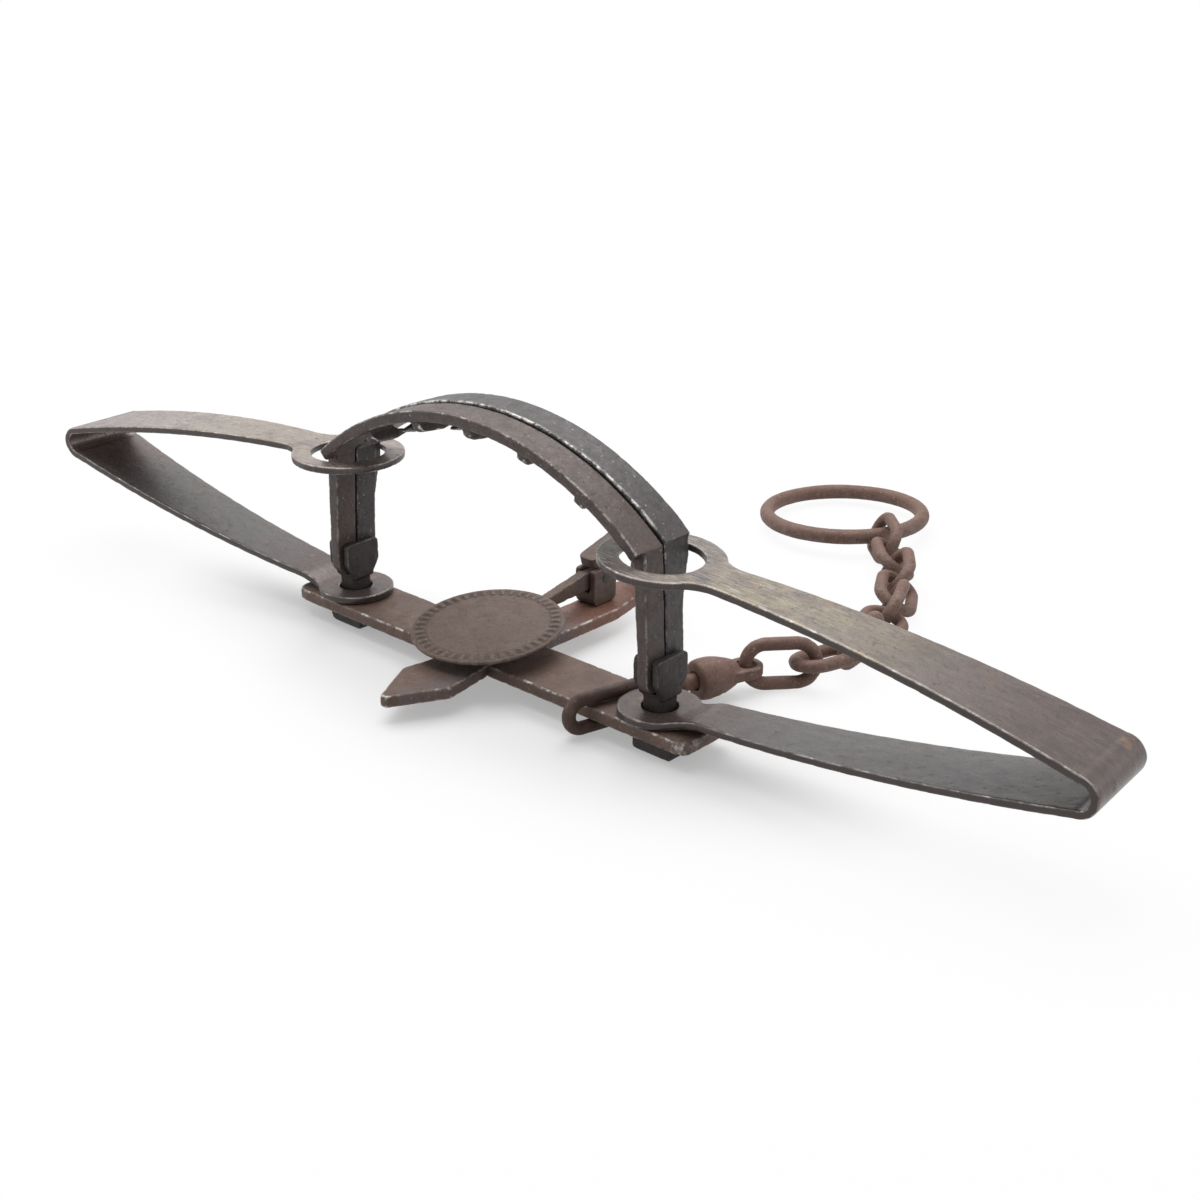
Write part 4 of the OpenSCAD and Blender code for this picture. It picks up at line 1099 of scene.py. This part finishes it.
class TRAP_OT_dog(Operator):
    """The dog that lies from its knuckle on the pan post, and its pin"""
    bl_idname = "trap.dog"
    bl_label = "Dog"

    def execute(self, context):
        d = measures(context)
        settle(self.dog(d), "dog", "pan_iron", finish(context, "forged_dog"), "dog")
        settle(self.pin(d), "base", "base_iron", finish(context, "rivet_iron"), "dog_pin")
        return {"FINISHED"}

    @staticmethod
    def dog(d):
        """A flat catch with a narrow knuckle and a rounded tip."""
        reach = (d.dog_y - d.dog_rest) / math.cos(d.dog_rise) - 0.6
        neck, half = d.dog_slot - 0.3, 5
        right = [(neck, 0), (neck, -5.4), (half, -8), (half, -reach + 3.5), (half - 0.6, -reach + 1.6),
                 (half - 1.2, -reach + 0.8), (half - 2.6, -reach)]
        bm = bmesh.new()
        slab(bm, mirrored(right), -d.dog_t / 2, d.dog_t / 2)
        rod(bm, (-neck, 0, 0), (neck, 0, 0), 3.9)
        dog = forge("dog_skin", bm, 0.42, hammer=0.14, seed=40.0)
        place = Matrix.Translation((d.pan_x, d.dog_y, d.dog_z)) @ Matrix.Rotation(d.dog_rise, 4, "X")
        dog.data.transform(place)
        return dog

    @staticmethod
    def pin(d):
        bm = bmesh.new()
        headed_pin(bm, (d.pan_x, d.dog_y, d.dog_z), d.up_half, 1.75, 2.4, 0.2, 0.2)
        return forge("dog_pin_skin", bm, 0.26, seed=41.0, **PIN_MARKS)


class TRAP_OT_swivel(Operator):
    """The wire bow round the base bar and the pear-shaped swivel on its stem"""
    bl_idname = "trap.swivel"
    bl_label = "Bow and swivel"

    stem_r, head_r, tongue = 3.2, 5, 2.3

    def execute(self, context):
        d = measures(context)
        on_stem = Matrix.Translation(d.join) @ Matrix.Rotation(d.stem_way, 4, "Z")
        dark, rust = finish(context, "dark_bow"), finish(context, "rusted_chain")
        settle(self.bow(d, on_stem), "bow", "chain_iron", dark, "swivel_bow")
        settle(self.swivel(d, on_stem), "swivel", "chain_iron", rust, "swivel_body")
        return {"FINISHED"}

    def bow(self, d, on_stem):
        """A wire folded round the bar, its two ends drawn together into a headed stem."""
        z, r = d.bar_mid, (d.bow_high - d.bow_low) / 2
        fold = (Matrix.Translation((d.bow_front, 0, d.bow_low + r)) @ Matrix.Rotation(math.pi / 2, 4, "X")
                @ Matrix.Rotation(math.pi / 2, 4, "Z"))
        bm = bmesh.new()
        hoop(bm, r, d.bow_r, math.pi, 36, fold)
        for level in (d.bow_low, d.bow_high):
            rod(bm, (d.bow_front - 0.1, 0, level), (d.bow_back, 0, level), d.bow_r)
            knob(bm, (d.bow_back, 0, level), d.bow_r)
            rod(bm, (d.bow_back, 0, level), (d.join_t, 0, z), d.bow_r)
        on_bow = Matrix.Translation((d.bow_x, 0, 0)) @ Matrix.Rotation(d.bow_way, 4, "Z")
        bmesh.ops.transform(bm, matrix=on_bow, verts=bm.verts)
        before = set(bm.verts)
        knob(bm, (0, 0, z), 3.6)
        rod(bm, (0, 0, z), (d.bell_t + 9, 0, z), self.stem_r)
        rod(bm, (d.bell_t + 6.5, 0, z), (d.bell_t + 10, 0, z), self.head_r)
        bmesh.ops.transform(bm, matrix=on_stem, verts=[v for v in bm.verts if v not in before])
        return forge("swivel_bow_skin", bm, 0.42, hammer=0.12, seed=50.0)

    def swivel(self, d, on_stem):
        """A hollow pear round the stem's head, drawn out into a flat tongue with an eye."""
        z, bell, eye, flat = d.bar_mid, d.bell_t, d.eye_t, self.tongue
        eye_r, eye_out = 4, 6.7
        bm = bmesh.new()
        pear = [(0, 0), (6.2, 0), (7.2, 0.4), (7.8, 1.3), (8.1, 3.2), (8.2, 5.6), (8.0, 8), (7.5, 10.4),
                (6.8, 12.8), (6.0, 15), (5.2, 17), (4.2, 18.6), (0, 19.4)]
        lathe(bm, pear, Matrix.Translation((bell, 0, z)) @ Matrix.Rotation(math.pi / 2, 4, "Y"))
        edge = [(bell + 9, -6.9), (bell + 15, -6.2), (eye, -6.6), (eye, -3.9)]
        slab(bm, edge + [(bell + 19, 0)] + [(x, -y) for x, y in reversed(edge)], z - flat, z + flat)
        washer(bm, eye, eye_r, eye_out, z - flat, z + flat)

        stem_hole, head_hole = self.stem_r + 0.3, self.head_r + 0.3
        head = (bell + 5.8, bell + 10.8)
        cut = bmesh.new()
        rod(cut, (bell - 2, 0, z), (bell + 8, 0, z), stem_hole)
        rod(cut, (head[0], 0, z), (head[1], 0, z), head_hole)
        block(cut, head, (-head_hole, head_hole), (z - 20, z))
        rod(cut, (eye, 0, z - 12), (eye, 0, z + 12), eye_r, 32)
        bmesh.ops.create_cone(cut, cap_ends=True, segments=32, radius1=5.6, radius2=eye_r, depth=1.6,
                              matrix=Matrix.Translation((eye, 0, z - flat + 0.7)))
        swivel = forge("swivel_body_skin", bm, 0.4, hammer=0.14, cut=cut, seed=51.0)
        swivel.data.transform(on_stem)
        return swivel


class TRAP_OT_chain(Operator):
    """Nine oval links and the stake ring"""
    bl_idname = "trap.chain"
    bl_label = "Chain and ring"

    way = (48, 74, 97, 108, 114, 120, 126, 132, 136)
    roll = (80, -10, 100, 15, -62, 33, -52, 36, -64)
    lift = (0, 5.8, 0.6, 4.3, 0.5, 0.8, 0.5, 0.3, 0)
    ring_way = 153

    def execute(self, context):
        d = measures(context)
        rust = finish(context, "rusted_chain")
        ring_r = (d.link_in + d.wire_d) / 2
        pitch = d.link_len - 1.6
        eye = d.join + d.eye_t * Vector((math.cos(d.stem_way), math.sin(d.stem_way), 0))
        at = eye + self.along(0) * ((d.link_len + d.wire_d) / 2 - 0.2)
        for i in range(len(self.way)):
            if i:
                at = at + pitch / 2 * (self.along(i - 1) + self.along(i))
            lean = math.radians(self.roll[i])
            height = ring_r * abs(math.sin(lean)) + d.wire_r + 0.1 + self.lift[i]
            node = "link_%d" % (i + 1)
            link = self.link(d, node, ring_r, 60.0 + i)
            link.data.transform(Matrix.Translation(at + Vector((0, 0, height)))
                                @ Matrix.Rotation(math.radians(self.way[i]), 4, "Z")
                                @ Matrix.Rotation(lean, 4, "X"))
            settle(link, node, "chain_iron", rust, node)
        hook = at + self.along(-1) * (d.link_len / 2 - d.ring_wire / 2 - 2) + Vector((0, 0, height - 0.5))
        settle(self.ring(d, hook), "ring", "chain_iron", rust, "stake_ring")
        return {"FINISHED"}

    def along(self, i):
        """A link's direction on the ground."""
        a = math.radians(self.way[i])
        return Vector((math.cos(a), math.sin(a), 0))

    @staticmethod
    def link(d, node, ring_r, seed):
        """A link that lies flat at the origin."""
        half = (d.link_len - d.link_in) / 2
        bm = bmesh.new()
        for end in (0, math.pi):
            hoop(bm, ring_r, d.wire_r, math.pi, 24, Matrix.Rotation(end, 4, "Z")
                 @ Matrix.Translation((half, 0, 0)) @ Matrix.Rotation(-math.pi / 2, 4, "Z"))
        for y in (-ring_r, ring_r):
            rod(bm, (-half - 0.1, y, 0), (half + 0.1, y, 0), d.wire_r)
        return forge(node + "_skin", bm, 0.45, soften=2, hammer=0.2, pits=0.1, seed=seed)

    def ring(self, d, hook):
        """The stake ring, which hangs from the last link and tips toward the ground."""
        ring_c, off_ground = (d.ring_d - d.ring_wire) / 2, 1.8
        tip = math.asin((hook.z - d.ring_wire / 2 - off_ground) / (2 * ring_c))
        bm = bmesh.new()
        hoop(bm, ring_c, d.ring_wire / 2, steps=120)
        ring = forge("stake_ring_skin", bm, 0.5, soften=2, hammer=0.2, pits=0.06, seed=70.0)
        ring.data.transform(Matrix.Translation(hook) @ Matrix.Rotation(math.radians(self.ring_way), 4, "Z")
                            @ Matrix.Rotation(tip, 4, "Y") @ Matrix.Translation((ring_c, 0, 0)))
        return ring


class TRAP_OT_stage(Operator):
    """Pale floor, soft panels of light, even sky and the camera"""
    bl_idname = "trap.stage"
    bl_label = "Stage"

    middle = Vector((0, 0.05, 0.03))

    def execute(self, context):
        scene, studio = context.scene, context.scene.trap_studio
        scene.view_settings.view_transform = "Standard"
        self.sky(scene, studio)
        self.ground(scene, studio)
        for name, at, size, power in (("overhead_panel", (-0.35, 0.30, 1.35), 1.5, studio.key),
                                      ("left_panel", (-1.2, -0.5, 0.75), 0.9, studio.fill),
                                      ("right_panel", (1.05, 0.75, 0.65), 0.8, studio.fill)):
            data = bpy.data.lights.new(name, "AREA")
            data.shape, data.size, data.energy = "SQUARE", size, power
            lamp = bpy.data.objects.new(name, data)
            lamp.location = at
            lamp.rotation_euler = (self.middle - Vector(at)).to_track_quat("-Z", "Y").to_euler()
            scene.collection.objects.link(lamp)
        self.camera(scene)
        return {"FINISHED"}

    @staticmethod
    def seen(t):
        """1 for what the camera, metal or glass looks at."""
        rays = add(t, "ShaderNodeLightPath").outputs
        seen = sums(t, "MAXIMUM", rays["Is Camera Ray"], rays["Is Glossy Ray"])
        return sums(t, "MAXIMUM", seen, rays["Is Transmission Ray"])

    def sky(self, scene, studio):
        """Even light, white where it is seen."""
        world = bpy.data.worlds.new("even_sky")
        scene.world = world
        world.use_nodes = True
        t = world.node_tree
        back = t.nodes["Background"]
        back.inputs["Color"].default_value = (1, 1, 1, 1)
        level = add(t, "ShaderNodeMapRange", {"Value": self.seen(t), "To Min": studio.sky, "To Max": 1.0})
        t.links.new(level.outputs["Result"], back.inputs["Strength"])

    def ground(self, scene, studio):
        """A wide floor just under the feet."""
        bm = bmesh.new()
        bmesh.ops.create_grid(bm, x_segments=8, y_segments=8, size=9.0)
        bmesh.ops.translate(bm, verts=bm.verts, vec=(0, 0, -0.0002))
        mesh = bpy.data.meshes.new("floor")
        bm.to_mesh(mesh)
        bm.free()
        floor = bpy.data.objects.new("floor", mesh)
        scene.collection.objects.link(floor)
        mesh.materials.append(self.pale_floor(studio))

    def pale_floor(self, studio):
        """Pale under the trap, where shadows stay, and white where it is seen further out."""
        mat, t, body = new_finish("pale_floor")
        pale = blended(t, self.seen(t), shade(studio.floor, 0.5), tuple(studio.floor))
        t.links.new(pale, body.inputs["Base Color"])
        body.inputs["Roughness"].default_value = 0.9
        body.inputs["Specular IOR Level"].default_value = 0.1
        where = add(t, "ShaderNodeTexCoord").outputs["Object"]
        drawn_in = add(t, "ShaderNodeVectorMath", {0: where, 1: (0.5, 1, 1)}, operation="MULTIPLY").outputs[0]
        away = add(t, "ShaderNodeVectorMath", {0: drawn_in}, operation="LENGTH").outputs["Value"]
        share = sums(t, "MAXIMUM", step(t, away, 0.045, 0.10, 0.35, 0.92), step(t, away, 0.08, 0.30))
        share = sums(t, "MULTIPLY", share, self.seen(t))
        glow = add(t, "ShaderNodeEmission", {"Color": (1, 1, 1, 1), "Strength": 1.0})
        both = add(t, "ShaderNodeMixShader", {0: share, 1: body.outputs[0], 2: glow.outputs[0]})
        t.links.new(both.outputs[0], t.nodes["Material Output"].inputs["Surface"])
        return mat

    @staticmethod
    def camera(scene):
        """The photograph's point of view."""
        data = bpy.data.cameras.new("camera")
        data.sensor_width, data.lens = 36.0, 51.45
        data.clip_start, data.clip_end = 0.01, 50.0
        cam = bpy.data.objects.new("camera", data)
        around, up = math.radians(42.56), math.radians(22.92)
        back = Vector((math.sin(around) * math.cos(up), -math.cos(around) * math.cos(up), math.sin(up)))
        cam.location = (0.4386, -0.4183, 0.2868)
        cam.rotation_euler = (-back).to_track_quat("-Z", "Y").to_euler()
        scene.collection.objects.link(cam)
        scene.camera = cam


OPERATORS = (TRAP_OT_stage, TRAP_OT_bars, TRAP_OT_posts, TRAP_OT_jaws, TRAP_OT_springs, TRAP_OT_pan,
             TRAP_OT_dog, TRAP_OT_swivel, TRAP_OT_chain)


class TRAP_PT_panel(Panel):
    """Sizes, tones and pieces of the trap"""
    bl_idname = "TRAP_PT_panel"
    bl_label = "Leghold Trap"
    bl_space_type = "VIEW_3D"
    bl_region_type = "UI"
    bl_category = "Trap"

    def draw(self, context):
        for name in GROUPS:
            box = self.layout.box()
            group = getattr(context.scene, name)
            for p in group.bl_rna.properties:
                if p.identifier not in {"rna_type", "name"}:
                    box.prop(group, p.identifier)
        for kind in OPERATORS:
            self.layout.operator(kind.bl_idname)


CLASSES = (*GROUPS.values(), *OPERATORS, TRAP_PT_panel)


def register():
    for kind in CLASSES:
        bpy.utils.register_class(kind)
    for name, group in GROUPS.items():
        setattr(bpy.types.Scene, name, PointerProperty(type=group))


def unregister():
    for name in GROUPS:
        delattr(bpy.types.Scene, name)
    for kind in reversed(CLASSES):
        bpy.utils.unregister_class(kind)


def main():
    register()
    for kind in OPERATORS:
        group, name = kind.bl_idname.split(".")
        getattr(getattr(bpy.ops, group), name)()


if __name__ == "__main__":
    main()
